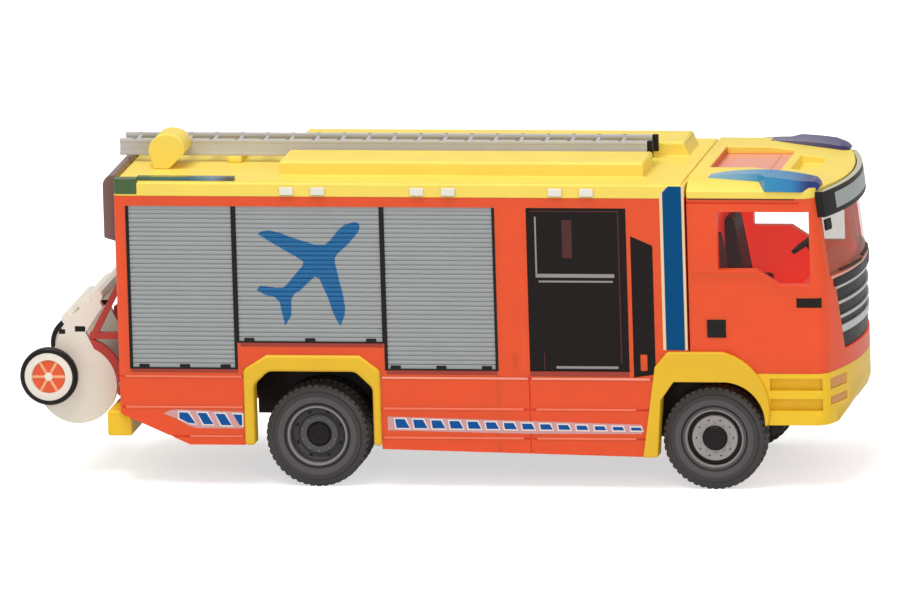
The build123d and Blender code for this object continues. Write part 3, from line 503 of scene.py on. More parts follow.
# Rims, hubs and axle pins: dark grey plastic discs pressed on black hubs.
# The front disc is flat with a ring of small holes, the rear one is a deep dish with hand holes,
# and both carry a ring of nuts about a black hub with its own cap.
rim_grey = moulded("rim_grey", (0.090, 0.086, 0.088), 0.4, grain=0.05)
lip_grey = moulded("rim_grey", (0.25, 0.24, 0.235), 0.35, grain=0.05)
disc_grey = moulded("rim_grey", (0.34, 0.32, 0.31), 0.42, grain=0.05)
dish_grey = moulded("rim_grey", (0.050, 0.047, 0.049), 0.42, grain=0.05)
nut_count = 10
rims = [
    # end, axle, rings as (name, material, outline of depths behind the face and radii), holes, nuts
    ("front", front_axle, [
        ("rim", rim_grey, [(0.9, 3.94), (0.38, 3.94), (0.20, 3.88), (0.19, 3.66), (0.26, 3.62), (0.9, 3.34),
                           (3.4, 3.34), (3.4, 3.94)]),
        ("lip", lip_grey, [(0.22, 3.62), (0.16, 3.58), (0.16, 3.42), (0.24, 3.36), (0.5, 3.32),
                           (0.5, 3.62)]),
        ("groove", black, [(0.85, 3.38), (0.85, 2.76), (1.3, 2.76), (1.3, 3.38)]),
        ("disc", disc_grey, [(1.2, 2.82), (0.66, 2.82), (0.52, 2.74), (0.50, 2.45), (0.56, 2.15),
                             (0.60, 1.60), (0.64, 1.50), (3.4, 1.50), (3.4, 2.82)])],
     (2.36, 0.17, 10, 0.54), (1.86, 0.11, 0.58, disc_grey)),
    ("rear", rear_axle, [
        ("rim", dish_grey, [(1.9, 3.94), (0.38, 3.94), (0.24, 3.86), (0.22, 3.70), (0.34, 3.56),
                            (0.85, 3.36), (1.35, 3.16), (1.52, 2.98), (1.60, 2.50), (6.5, 2.50),
                            (6.5, 3.94)]),
        ("lip", lip_grey, [(0.24, 3.70), (0.17, 3.66), (0.17, 3.50), (0.28, 3.42), (0.6, 3.38),
                           (0.6, 3.70)]),
        ("disc", rim_grey, [(1.62, 2.54), (1.46, 2.40), (1.30, 2.32), (1.26, 1.95), (1.30, 1.66),
                            (1.40, 1.50), (6.5, 1.50), (6.5, 2.54)])],
     (2.92, 0.26, 8, 1.53), (2.06, 0.12, 1.27, lip_grey)),
]
for end, axle, parts, (ring, size, count, hole_depth), (nut_ring, nut_size, nut_depth, nut_finish) in rims:
    for side, sign in (("left", 1), ("right", -1)):
        node = f"{end}_rim_{side}"
        for part, finish, profile in parts:
            form = turned([(sign * (wheel_face - depth), r) for depth, r in profile])
            replaced = [node] if part == "rim" else []
            moved(form, axle.x, 0, axle.z)
            fitted(f"{end}_{part}_moulding_{side}", form, finish, body_of(node), *replaced, smooth=40)
        top = wheel_face - nut_depth + 0.16
        nut = turned([(sign * y, r) for y, r in [(top, 0.0), (top, nut_size * 0.7), (top - 0.06, nut_size),
                                                 (top - 0.4, nut_size), (top - 0.4, 0.0)]], 6)
        moved(nut, 0, 0, nut_ring)
        nuts = ring_of(nut, nut_count, nut_finish, (axle.x, 0, axle.z))
        fitted(f"{end}_nuts_{side}", nuts, nut_finish, body_of(node), smooth=30)
        mouth = wheel_face - hole_depth + 0.02
        hole = turned([(sign * y, r) for y, r in [(mouth, 0.0), (mouth, size * 0.9), (mouth - 0.02, size),
                                                  (mouth - 0.4, size), (mouth - 0.4, 0.0)]], 20)
        moved(hole, 0, 0, ring)
        holes = ring_of(hole, count, black, (axle.x, 0, axle.z), math.pi / count)
        fitted(f"{end}_hand_holes_{side}", holes, black, body_of(node), smooth=30)
dress(black, "front_axle", "rear_axle")
for end, axle, hub_face in (("front", front_axle, 13.6), ("rear", rear_axle, 12.8)):
    caps = []
    for sign in (1, -1):
        profile = [(hub_face - 0.1, 0.0), (hub_face - 0.02, 0.55), (hub_face + 0.08, 0.62),
                   (hub_face + 0.08, 0.88), (hub_face - 0.1, 0.95)]
        caps.append(moved(turned([(sign * y, r) for y, r in profile], 40), axle.x, 0, axle.z))
        nut = bmesh.new()
        y0, y1 = sorted((sign * (hub_face - 0.2), sign * (hub_face - 0.04)))
        brick(nut, -0.09, 0.09, y0, y1, 1.16, 1.34, 0.03)
        caps.append(ring_of(nut, nut_count, black, (axle.x, 0, axle.z)))
    fitted(f"{end}_hub_caps", joined(*caps), black, body_of(f"{end}_axle"), smooth=35)

# Body shell: one orange moulding with the shutter openings, pressed lines and wheel arches.
# Blue and white are printed on its sides, a blue bar with cream edges beside the cab
# and two bands of slanted blocks low on the skirt, above and below raised beads coloured pale as painted
# highlight.
orange = moulded("orange", (0.84, 0.090, 0.022), 0.36)
skin = orange.node_tree.nodes["Principled BSDF"]
skin.inputs["Subsurface Weight"].default_value = 0.35
skin.inputs["Subsurface Radius"].default_value = (1.0, 0.2, 0.08)
skin.inputs["Subsurface Scale"].default_value = 2 * mm
softened("body_moulding", "body_shell", orange, 0.05, dissolve=False)

blue_ink = moulded("blue_ink", (0.003, 0.085, 0.32), 0.5, grain=0.02, shine=0.12)
dark_blue_ink = moulded("dark_blue_ink", (0.0005, 0.070, 0.205), 0.5, grain=0.02, shine=0.08)
white_ink = moulded("white_ink", (0.83, 0.74, 0.70), 0.45, grain=0.02)
pink_ink = moulded("pink_ink", (0.62, 0.33, 0.33), 0.45, grain=0.02)
cream_ink = moulded("cream_ink", (0.82, 0.62, 0.36), 0.45, grain=0.02)
body_side = 14.4
skin_depth = 0.012


def ink_or_painted_light(name, outlines, material, height=1, face=body_side):
    """Ink, and painted shade and highlight, on both sides of the model, laid on as thin skins over a flat
    side.
    """
    form = bmesh.new()
    for outline in outlines:
        for sign in (1, -1):
            y0, y1 = sorted((sign * (face - 0.01), sign * (face + skin_depth * height)))
            prism(form, outline, y0, y1)
    return fitted(name, form, material, "root", smooth=30)


def from_rear_axle(outline):
    return [(rear_axle.x + x, z) for x, z in outline]


bands = [from_rear_axle([(-18.8, 9.1), (-18.0, 9.5), (-16.95, 9.6), (-9.0, 9.35), (-9.0, 7.3), (-14.7, 7.3),
                         (-15.75, 7.6), (-16.9, 8.35)]),
         from_rear_axle([(8.85, 8.9), (40.1, 8.1), (40.1, 6.95), (25.7, 6.9), (8.85, 7.2)])]
ink_or_painted_light("band_backing", bands, pink_ink)
blocks = [from_rear_axle(points) for points in (
    [(-16.85, 9.25), (-15.75, 9.22), (-14.85, 7.85), (-15.75, 7.95), (-16.85, 8.5)],
    [(-14.6, 9.2), (-13.5, 9.18), (-12.65, 7.8), (-13.85, 7.8)],
    [(-12.4, 9.1), (-11.25, 9.08), (-10.4, 7.68), (-11.65, 7.7)],
    [(-10.2, 9.05), (-9.1, 9.0), (-9.1, 7.68), (-9.4, 7.68)])]
block_first = 9.75
block_pitch = 2.23
block_total = 14
for i in range(block_total):
    x = block_first + i * block_pitch
    share = i / (block_total - 1)
    low = 7.5 - 0.12 * share
    high = 8.6 - 0.85 * share
    lean = 0.55 * (high - low)
    blocks.append(from_rear_axle([(x, high), (x + 1.2, high), (x + 1.2 + lean, low),
                                  (x + 0.3 * lean, low)]))
outline_width = 0.16
outlines = []
for block in blocks:
    middle_x = sum(x for x, z in block) / len(block)
    middle_z = sum(z for x, z in block) / len(block)
    outlines.append([(x + math.copysign(outline_width, x - middle_x),
                      z + math.copysign(outline_width, z - middle_z)) for x, z in block])
ink_or_painted_light("band_outlines", outlines, white_ink, 2)
ink_or_painted_light("band_blocks", blocks, blue_ink, 3)

# The bar beside the cab ends at the body's upright corner
corner_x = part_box("body_shell")[1].x / mm
bar_low = 17.35
bar_high = 37.55
ink_or_painted_light("bar_edges", [[(corner_x - 3.0, bar_low), (corner_x, bar_low), (corner_x, bar_high),
                       (corner_x - 2.1, bar_high), (corner_x - 3.0, bar_high - 0.9)]], cream_ink)
ink_or_painted_light("bar_ink", [[(corner_x - 2.63, bar_low), (corner_x - 0.32, bar_low), (corner_x - 0.32, bar_high),
                     (corner_x - 1.9, bar_high), (corner_x - 2.63, bar_high - 0.75)]], dark_blue_ink, 2)

# Raised beads run along the skirt's folds in paler orange, a painted highlight, and a dark line of painted
# shadow lies under each opening
sill_fold = 13.7
middle_fold = 9.9
low_fold = 6.3
bead_root = 0.25
bead_half = 0.13
crew_door = (26.6, 38.75)
bead_shine = moulded("bead_shine", (0.95, 0.34, 0.24), 0.35)
bead_orange = moulded("bead_orange", (0.93, 0.19, 0.10), 0.35)
bead_sets = [
    # name, finish (a paler orange as painted highlight), beads as rear end and front end from the rear
    # axle, height, how far they stand out
    ("sill_beads", bead_shine, [
        (8.25, 22.6, sill_fold, 0.05), (22.6, 26.25, sill_fold, 0.07), (26.75, 41.3, sill_fold, 0.07)]),
    ("skirt_beads", bead_orange, [
        (-23.4, -8.95, sill_fold, 0.05), (-23.4, -8.95, middle_fold, 0.03), (8.3, 25.6, middle_fold, 0.06),
        (27.2, 39.4, middle_fold, 0.06), (-15.6, -8.95, low_fold, 0.0), (8.3, 25.6, low_fold, 0.06),
        (27.2, 39.4, low_fold, 0.06)]),
]
for name, finish, lines in bead_sets:
    beads = bmesh.new()
    for rear, front, height, proud in lines:
        paired(beads, rear_axle.x + rear, rear_axle.x + front, body_side - bead_root,
               body_side + proud + 0.004, height - bead_half, height + bead_half, 0.04)
    fitted(name, beads, finish, "root", smooth=40)
# Thin dark red skins under each opening are painted shadow below the shutter and window sills
sill_shade = moulded("sill_shade", (0.34, 0.045, 0.027), 0.5, grain=0.02)
shade_places = [(-22.6, -9.4, 14.2, 14.62), (-9.0, 8.6, 17.45, 17.92), (8.9, 22.5, 14.12, 14.62),
                (*crew_door, 14.0, 14.62)]
ink_or_painted_light("sill_shades", [from_rear_axle([(x0, low), (x1, low), (x1, high), (x0, high)])
                        for x0, x1, low, high in shade_places], sill_shade)

# The seam behind the crew door's post is filled
post_width = 4.2
frame_width = 0.35
filler = bmesh.new()
post_seam = rear_axle.x + crew_door[0] - post_width + frame_width - 0.05
paired(filler, post_seam - 0.22, post_seam + 0.02, body_side - bead_root, body_side + 0.004, 5.05, 14.0)
fitted("seam_filler", filler, orange, "root", smooth=40)

# Roller shutters: three curtains of silver slats on each side and one behind the reel.
# Each is pressed as one ribbed sheet with a plain bottom rail, held by small black clips,
# and the middle ones carry a blue aeroplane sign.
shutter_silver = moulded("silver_shutter", (0.335, 0.35, 0.355), 0.42, grain=0.06)
slat_pitch = 0.56
pocket_back = 13.7
slat_face = 14.28
rail_height = 0.5
shutter_top = 34.8
shutters = [
    # rear end and front end from the rear axle, bottom, first clip's place and the clips' pitch
    (-22.4, -9.75, 14.8, -21.6, 5.02),
    (-9.2, 8.5, 18.1, -8.55, 7.52),
    (9.05, 22.35, 14.8, 9.4, 5.62),
]


def slat(x0, x1):
    """One slat: a flat face that rolls over into a narrow groove above and below."""
    form = bmesh.new()
    back_y, root, face = 0.0, slat_face - pocket_back - 0.15, slat_face - pocket_back
    edge = [(root, 0.0), (face - 0.05, 0.07), (face, 0.14), (face + 0.01, 0.28), (face, 0.42),
            (face - 0.05, 0.49), (root, slat_pitch), (back_y, slat_pitch), (back_y, 0.0)]
    ends = [[form.verts.new((x * mm, y * mm, z * mm)) for y, z in edge] for x in (x0, x1)]
    faces = [form.faces.new(ends[0]), form.faces.new(ends[1][::-1])]
    for i in range(len(edge)):
        j = (i + 1) % len(edge)
        faces.append(form.faces.new((ends[0][i], ends[1][i], ends[1][j], ends[0][j])))
    bmesh.ops.recalc_face_normals(form, faces=faces)
    return form


def mirrored(form):
    """Turns a form for the left side into one for the right."""
    bmesh.ops.scale(form, vec=(1, -1, 1), verts=form.verts)
    bmesh.ops.recalc_face_normals(form, faces=form.faces)
    return form


for side, node in (("left", "shutters_left"), ("right", "shutters_right")):
    sheets = []
    for rear, front, bottom, clip_place, clip_pitch in shutters:
        x0, x1 = rear_axle.x + rear + 0.03, rear_axle.x + front - 0.03
        count = int((shutter_top - bottom - rail_height) / slat_pitch)
        sheets.append(repeated(slat(x0, x1), count, shutter_silver, (0, pocket_back, bottom + rail_height),
                               (0, 0, slat_pitch)))
        rail = bmesh.new()
        brick(rail, x0, x1, pocket_back, slat_face + 0.03, bottom, bottom + rail_height, 0.05)
        top = bottom + rail_height + count * slat_pitch
        if shutter_top - top > 0.05:
            brick(rail, x0, x1, pocket_back, slat_face - 0.02, top, shutter_top)
        sheets.append(rail)
    form = joined(*sheets)
    fitted(f"curtains_{side}", mirrored(form) if side == "right" else form, shutter_silver, "root", node,
           smooth=30)

clips = []
for rear, front, bottom, clip_place, clip_pitch in shutters:
    for sign in (1, -1):
        clip = bmesh.new()
        y0, y1 = sorted((sign * (slat_face - 0.1), sign * (slat_face + 0.14)))
        brick(clip, 0, 1.25, y0, y1, -0.04, 0.42, 0.07)
        clips.append(repeated(clip, 3, black, (rear_axle.x + clip_place, 0, bottom), (clip_pitch, 0, 0)))
fitted("shutter_clips", joined(*clips), black, "root", smooth=35)

rear_low, rear_high = (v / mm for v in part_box("rear_shutter"))
slat_form = slat(-(rear_high.y - 0.03), rear_high.y - 0.03)
rear_count = int((rear_high.z - rear_low.z - rail_height) / slat_pitch)
rear_slats = repeated(slat_form, rear_count, shutter_silver, (0, 0, rear_low.z + rail_height),
                      (0, 0, slat_pitch))
rear_rail = bmesh.new()
brick(rear_rail, -(rear_high.y - 0.03), rear_high.y - 0.03, 0, 0.58, rear_low.z, rear_low.z + rail_height,
      0.05)
brick(rear_rail, -(rear_high.y - 0.03), rear_high.y - 0.03, 0, 0.56,
      rear_low.z + rail_height + rear_count * slat_pitch, rear_high.z)
rear_form = joined(rear_slats, rear_rail)
bmesh.ops.rotate(rear_form, verts=rear_form.verts, cent=(0, 0, 0), matrix=Matrix.Rotation(math.pi / 2, 3,
                                                                                          "Z"))
moved(rear_form, rear_high.x, 0, 0)
fitted("rear_curtain", rear_form, shutter_silver, "root", "rear_shutter", smooth=30)

dress(black, "shutter_frames")

# The sign follows the slats: its outline is cut along every groove and laid on the ribs
sign_blue = moulded("sign_blue", (0.016, 0.135, 0.330), 0.4, grain=0.05, shine=0.2)
aeroplane = from_rear_axle([
    (5.4, 32.95), (5.95, 32.8), (6.1, 32.3), (5.9, 31.7), (5.45, 31.15), (4.3, 29.9), (3.2, 28.95),
    (2.9, 28.4), (2.95, 27.7), (3.15, 26.8), (3.4, 25.5), (3.8, 23.9), (4.0, 22.3), (3.9, 21.3),
    (3.35, 20.05), (2.85, 20.9), (2.4, 21.95), (1.95, 23.5), (1.4, 24.75), (0.95, 25.85), (0.4, 26.15),
    (-0.25, 25.6), (-1.5, 24.4), (-2.2, 24.0), (-2.6, 23.3), (-2.65, 21.3), (-3.45, 20.05), (-3.75, 21.45),
    (-4.05, 22.95), (-4.6, 23.55), (-5.8, 23.85), (-6.85, 24.45), (-6.4, 24.95), (-5.5, 24.9),
    (-4.55, 24.7), (-3.6, 24.7), (-2.9, 25.35), (-2.0, 26.45), (-1.15, 27.4), (-0.95, 27.95), (-1.7, 28.5),
    (-3.0, 29.25), (-4.9, 30.35), (-6.45, 31.35), (-6.1, 31.7), (-5.1, 31.85), (-3.8, 31.55),
    (-2.25, 30.95), (-0.5, 30.4), (0.45, 30.1), (1.75, 30.1), (2.4, 30.6), (3.4, 31.9), (4.2, 32.55)])


def rib_depth(z, bottom):
    """How far the slats stand out at a height."""
    at = (z - bottom - rail_height) % slat_pitch
    depths = [(0.0, -0.15), (0.07, -0.05), (0.14, 0.0), (0.28, 0.01), (0.42, 0.0), (0.49, -0.05),
              (slat_pitch, -0.15)]
    for (z0, d0), (z1, d1) in zip(depths, depths[1:]):
        if at <= z1:
            return slat_face + d0 + (d1 - d0) * (at - z0) / (z1 - z0)
    return slat_face - 0.15


def ribbed_sign(name, outline, material, bottom, lift):
    """A printed outline that follows the ribs of a shutter, on both sides of the model."""
    form = bmesh.new()
    form.faces.new([form.verts.new((x * mm, 0, z * mm)) for x, z in outline])
    form.normal_update()
    bmesh.ops.triangulate(form, faces=form.faces, ngon_method="EAR_CLIP")
    low = min(z for x, z in outline)
    high = max(z for x, z in outline)
    first = int((low - bottom - rail_height) / slat_pitch)
    last = int((high - bottom - rail_height) / slat_pitch) + 1
    for i in range(first, last + 1):
        for at in (0.0, 0.07, 0.14, 0.28, 0.42, 0.49):
            z = bottom + rail_height + i * slat_pitch + at
            geometry = form.verts[:] + form.edges[:] + form.faces[:]
            bmesh.ops.bisect_plane(form, geom=geometry, plane_co=(0, 0, z * mm), plane_no=(0, 0, 1),
                                   dist=1e-7)
    for vertex in form.verts:
        vertex.co.y = (rib_depth(vertex.co.z / mm, bottom) + lift) * mm
    bmesh.ops.remove_doubles(form, verts=form.verts, dist=1e-6)
    bmesh.ops.recalc_face_normals(form, faces=form.faces)
    if sum(face.normal.y for face in form.faces) < 0:
        bmesh.ops.reverse_faces(form, faces=form.faces)
    other = form.copy()
    mirrored(other)
    if sum(face.normal.y for face in other.faces) > 0:
        bmesh.ops.reverse_faces(other, faces=other.faces)
    return fitted(name, joined(form, other), material, "root", smooth=30)


ribbed_sign("aeroplane_sign", aeroplane, sign_blue, shutters[1][2], 0.012)

# Crew door and quarter window: one black glossy pane each, behind the wall's face.
# Grey lines on the door are painted highlights along the edges of its recessed frame, and its grab bar
# shows at the edge.
dark_glass = moulded("dark_glass", (0.008, 0.0045, 0.004), 0.12, marbling=0.02, grain=0.0, shine=0.18)
softened("crew_panes", "crew_windows", dark_glass, 0.05)
line_grey = moulded("line_grey", (0.30, 0.28, 0.28), 0.4, grain=0.02)
pane_face = 14.25
ink_or_painted_light("crew_lines", [
    from_rear_axle([(27.55, 26.6), (27.55, 33.7), (27.75, 33.7), (27.75, 26.6)]),
    from_rear_axle([(27.55, 26.2), (37.2, 26.2), (37.2, 26.65), (27.55, 26.65)]),
    from_rear_axle([(27.9, 25.6), (37.0, 25.6), (37.0, 25.82), (27.9, 25.82)]),
    from_rear_axle([(29.80, 14.95), (37.40, 14.95), (37.40, 15.25), (29.80, 15.25)])], line_grey, 1,
    pane_face)
trim_shade = moulded("trim_shade", (0.075, 0.018, 0.014), 0.4, grain=0.02)
ink_or_painted_light("crew_trim", [
    from_rear_axle([(27.0, 34.3), (37.9, 34.3), (37.9, 34.45), (27.0, 34.45)]),
    from_rear_axle([(37.75, 15.6), (37.9, 15.6), (37.9, 34.2), (37.75, 34.2)]),
    from_rear_axle([(28.3, 14.8), (28.42, 14.8), (28.42, 16.9), (28.3, 16.9)]),
    from_rear_axle([(30.9, 28.6), (32.1, 28.6), (32.1, 33.3), (30.9, 33.3)])], trim_shade, 1, pane_face)
grips = bmesh.new()
paired(grips, rear_axle.x + 40.15, rear_axle.x + 41.0, pane_face - 0.05, pane_face + 0.2, 14.75, 16.75, 0.1)
paired(grips, rear_axle.x + 24.6, rear_axle.x + 24.95, body_side - 0.05, body_side + 0.12, 15.0, 16.9, 0.06)
fitted("crew_grips", grips, orange, "root", smooth=40)

# Wheel arch trims, bumpers and body roof: yellow mouldings glued or clipped to the shell.
# Their edges are a little rounder than the shell's and the roof's lid carries a pressed ledge.
yellow = moulded("yellow", (0.88, 0.56, 0.02), 0.38)
# The roof pieces take a paler copy of the yellow: painted light on tops that face the overhead lamp
roof_yellow_painted_light = moulded("yellow", (0.92, 0.70, 0.12), 0.38)
# The arch trims take a darker copy of the yellow, painted shade on their faces
arch_yellow_painted_shade = moulded("yellow", (0.80, 0.49, 0.022), 0.36)
softened("rear_arch_trims", "rear_arches", arch_yellow_painted_shade, 0.42, steps=3)
softened("front_arch_trims", "front_arches", arch_yellow_painted_shade, 0.42, steps=3)
softened("roof_moulding", "body_roof", roof_yellow_painted_light, 0.14, steps=3)
softened("rear_bumper_block", "rear_bumper", yellow, 0.25, steps=3)
softened("cradle_blocks", "ladder_cradles", roof_yellow_painted_light, 0.12)
softened("guard_moulding", "ladder_guard", roof_yellow_painted_light, 0.18, steps=3)

# Ladder: one grey plastic moulding of two channel rails and round rungs, with black end caps.
ladder_grey = moulded("ladder_grey", (0.54, 0.53, 0.53), 0.4, grain=0.05)
ladder_low, ladder_high = (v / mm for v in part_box("ladder"))
rail_width = 0.6
flange = 0.45
rung_pitch = 3.15
rung_first = 1.6
rails = bmesh.new()
for low, high in ((ladder_low.z, ladder_low.z + flange), (ladder_high.z - flange, ladder_high.z)):
    paired(rails, ladder_low.x, ladder_high.x, ladder_high.y, ladder_high.y - rail_width, low, high, 0.06)
paired(rails, ladder_low.x + 0.05, ladder_high.x - 0.05, ladder_high.y - 0.04, ladder_high.y - 0.45,
       ladder_low.z + 0.3, ladder_high.z - 0.3)
rung_count = int((ladder_high.x - ladder_low.x - rung_first) / rung_pitch)
rung = turned([(-(ladder_high.y - 0.3), 0.0), (-(ladder_high.y - 0.3), 0.26), (ladder_high.y - 0.3, 0.26),
               (ladder_high.y - 0.3, 0.0)], 16)
first_rung_x = ladder_low.x + rung_first + 0.28
rung_row = repeated(rung, rung_count, ladder_grey, (first_rung_x, 0, ladder_high.z - 0.55),
                    (rung_pitch, 0, 0))
fitted("ladder_moulding", joined(rails, rung_row), ladder_grey, "root", "ladder", smooth=40)
caps = bmesh.new()
paired(caps, ladder_high.x - 0.7, ladder_high.x + 0.02, ladder_high.y + 0.03,
       ladder_high.y - rail_width - 0.03, ladder_low.z - 0.02, ladder_high.z + 0.03, 0.08)
for i in range(rung_count):
    x = first_rung_x + i * rung_pitch
    paired(caps, x - 0.24, x + 0.24, ladder_high.y - 0.12, ladder_high.y - 0.42, ladder_high.z - 0.1,
           ladder_high.z + 0.02, 0.04)
fitted("ladder_end_caps", caps, black, "root", smooth=35)

# Lamps on the body: pale side lamps under the roof's edge, blue beacons on the rear corners,
# red tail lamps and the smoked housing across the top of the rear.
white_lamp = moulded("white_lamp", (0.80, 0.78, 0.68), 0.3, coat=0.3)
softened("side_lamp_blocks", "side_lamps", white_lamp, 0.08)
lamp_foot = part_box("side_lamps")[0].z / mm
lamp_pitch = 3.85
lamp_shift = -0.5
base_half = 0.8
bases = bmesh.new()
for rear, front in (shutters[1][:2], shutters[2][:2], crew_door):
    for step in (-lamp_pitch / 2, lamp_pitch / 2):
        x = rear_axle.x + (rear + front) / 2 + lamp_shift + step
        paired(bases, x - base_half, x + base_half, body_side - 0.1, body_side + 0.32, lamp_foot - 0.05,
               lamp_foot + 0.32, 0.05)
fitted("side_lamp_bases", bases, rim_grey, "root", smooth=35)


def lens_plastic(name, colour, roughness=0.12, through=0.55, tint_and_painted_light_along=()):
    """Tinted see-through plastic with moulded ripples, its colour even or changing along X as (x, colour),
    a change that paints highlight and shade along the lens, and on the corner lens the yellow seen through
    it.
    """
    material = bpy.data.materials.new(name)
    material.use_nodes = True
    tree = material.node_tree
    skin = tree.nodes["Principled BSDF"]
    skin.inputs["Transmission Weight"].default_value = through
    skin.inputs["Roughness"].default_value = roughness
    skin.inputs["IOR"].default_value = 1.49
    place = tree.nodes.new("ShaderNodeTexCoord")
    flow = tree.nodes.new("ShaderNodeTexNoise")
    flow.inputs["Scale"].default_value = 420
    tones = tree.nodes.new("ShaderNodeMix")
    tones.data_type = "RGBA"
    tones.inputs[6].default_value = (*[c * 0.85 for c in colour], 1)
    tones.inputs[7].default_value = (*[min(1, c * 1.15) for c in colour], 1)
    ripple = tree.nodes.new("ShaderNodeTexNoise")
    ripple.inputs["Scale"].default_value = 900
    bump = tree.nodes.new("ShaderNodeBump")
    bump.inputs["Strength"].default_value = 0.08
    bump.inputs["Distance"].default_value = 0.1 * mm
    tree.links.new(place.outputs["Object"], flow.inputs["Vector"])
    tree.links.new(place.outputs["Object"], ripple.inputs["Vector"])
    tree.links.new(flow.outputs["Fac"], tones.inputs[0])
    tree.links.new(tones.outputs[2], skin.inputs["Base Color"])
    if tint_and_painted_light_along:
        first, last = tint_and_painted_light_along[0][0], tint_and_painted_light_along[-1][0]
        split = tree.nodes.new("ShaderNodeSeparateXYZ")
        share = tree.nodes.new("ShaderNodeMapRange")
        share.inputs["From Min"].default_value = first * mm
        share.inputs["From Max"].default_value = last * mm
        ramp = tree.nodes.new("ShaderNodeValToRGB")
        while len(ramp.color_ramp.elements) < len(tint_and_painted_light_along):
            ramp.color_ramp.elements.new(0.5)
        for stop, (x, tone) in zip(ramp.color_ramp.elements, tint_and_painted_light_along):
            stop.position = (x - first) / (last - first)
            stop.color = (*tone, 1)
        tree.links.new(place.outputs["Object"], split.inputs[0])
        tree.links.new(split.outputs["X"], share.inputs["Value"])
        tree.links.new(share.outputs[0], ramp.inputs[0])
        tree.links.new(ramp.outputs[0], skin.inputs["Base Color"])
    tree.links.new(ripple.outputs["Fac"], bump.inputs["Height"])
    tree.links.new(bump.outputs["Normal"], skin.inputs["Normal"])
    return material


# The near beacon's lens is painted pale blue at its rear as a highlight and dark navy at its front as
# shade; the far one turns from grey-violet to dark blue, and the corner lens runs from green, where the
# yellow below shows through, to pale blue-grey and a dark end
blue_lens = lens_plastic("blue_lens", (0.03, 0.16, 0.62), 0.12, 0.25, [
    (34.5, (0.30, 0.60, 0.78)), (38.5, (0.20, 0.48, 0.74)), (41.5, (0.03, 0.34, 0.66)),
    (45.0, (0.015, 0.26, 0.60)), (47.0, (0.008, 0.03, 0.26))])
far_lens = lens_plastic("blue_lens", (0.12, 0.12, 0.26), 0.2, 0.15, [
    (34.5, (0.17, 0.17, 0.27)), (43.0, (0.12, 0.10, 0.24)), (48.0, (0.02, 0.02, 0.17))])
corner_lens = lens_plastic("blue_lens", (0.10, 0.30, 0.42), 0.15, 0.15, [
    (-38.4, (0.055, 0.125, 0.035)), (-35.0, (0.055, 0.125, 0.035)), (-32.5, (0.045, 0.16, 0.11)),
    (-29.0, (0.03, 0.15, 0.17)), (-26.0, (0.20, 0.30, 0.40)), (-24.2, (0.10, 0.10, 0.08))])
red_lens = lens_plastic("red_lens", (0.62, 0.02, 0.02), 0.15, 0.3)
amber_lens = lens_plastic("amber_lens", (0.80, 0.32, 0.045), 0.2, 0.2)
smoked = moulded("smoked", (0.19, 0.10, 0.085), 0.28, coat=0.2)
softened("corner_beacons", "rear_beacons", corner_lens, 0.12, steps=3)
softened("tail_lamp_lenses", "tail_lamps", red_lens, 0.08)
softened("housing_moulding", "rear_housing", smoked, 0.2, steps=3)

# Cab: an orange shell with pressed door lines, its yellow roof with a hatch, and clear glazing.
# The roof is glued over the shell, the hatch panel and the step lie sunk in it.
cab_moulding = softened("cab_moulding", "cab_shell", orange, 0.05, dissolve=False)
interior_red = moulded("interior_red", (0.85, 0.06, 0.018), 0.45)
# The interior red glows faintly: painted light standing in for light that comes through the thin orange
# walls
skin = interior_red.node_tree.nodes["Principled BSDF"]
skin.inputs["Emission Color"].default_value = (0.95, 0.035, 0.015, 1)
skin.inputs["Emission Strength"].default_value = 0.33
cab_moulding.data.materials.append(interior_red)
cab_middle = (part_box("cab_shell")[0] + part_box("cab_shell")[1]) / 2
for face in cab_moulding.data.polygons:
    if face.normal.dot(cab_middle - face.center) > 0 and abs(face.center.y) < 13.3 * mm:
        face.material_index = 1
softened("cab_roof_moulding", "cab_roof", roof_yellow_painted_light, 0.12, steps=3)
# The hatch panel's pale pinkish orange is painted light: the orange plastic as the overhead lamp lights its
# top
hatch_painted_light = moulded("orange_hatch", (0.84, 0.33, 0.23), 0.3, coat=0.2)
softened("hatch_panel", "cab_hatch", hatch_painted_light, 0.1)
hatch_low, hatch_high = (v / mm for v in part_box("cab_hatch"))
seal_orange = moulded("orange", (0.70, 0.16, 0.035), 0.4)
seal = bmesh.new()
seal_width = 0.12
seal_top = 38.3
for x0, x1, y0, y1, top in (
        (hatch_low.x, hatch_low.x + seal_width, hatch_low.y, hatch_high.y, seal_top),
        (hatch_high.x - seal_width, hatch_high.x, hatch_low.y, hatch_high.y, seal_top - 0.75),
        (hatch_low.x, hatch_high.x, hatch_low.y, hatch_low.y + seal_width, seal_top - 0.75),
        (hatch_low.x, hatch_high.x, hatch_high.y - seal_width, hatch_high.y, seal_top - 0.75)):
    brick(seal, x0, x1, y0, y1, hatch_low.z, top)
fitted("hatch_seal", seal, seal_orange, "root", smooth=30)
softened("handle_cups", "door_handles", black, 0.06)


def from_front_axle(outline):
    return [(front_axle.x + x, z) for x, z in outline]


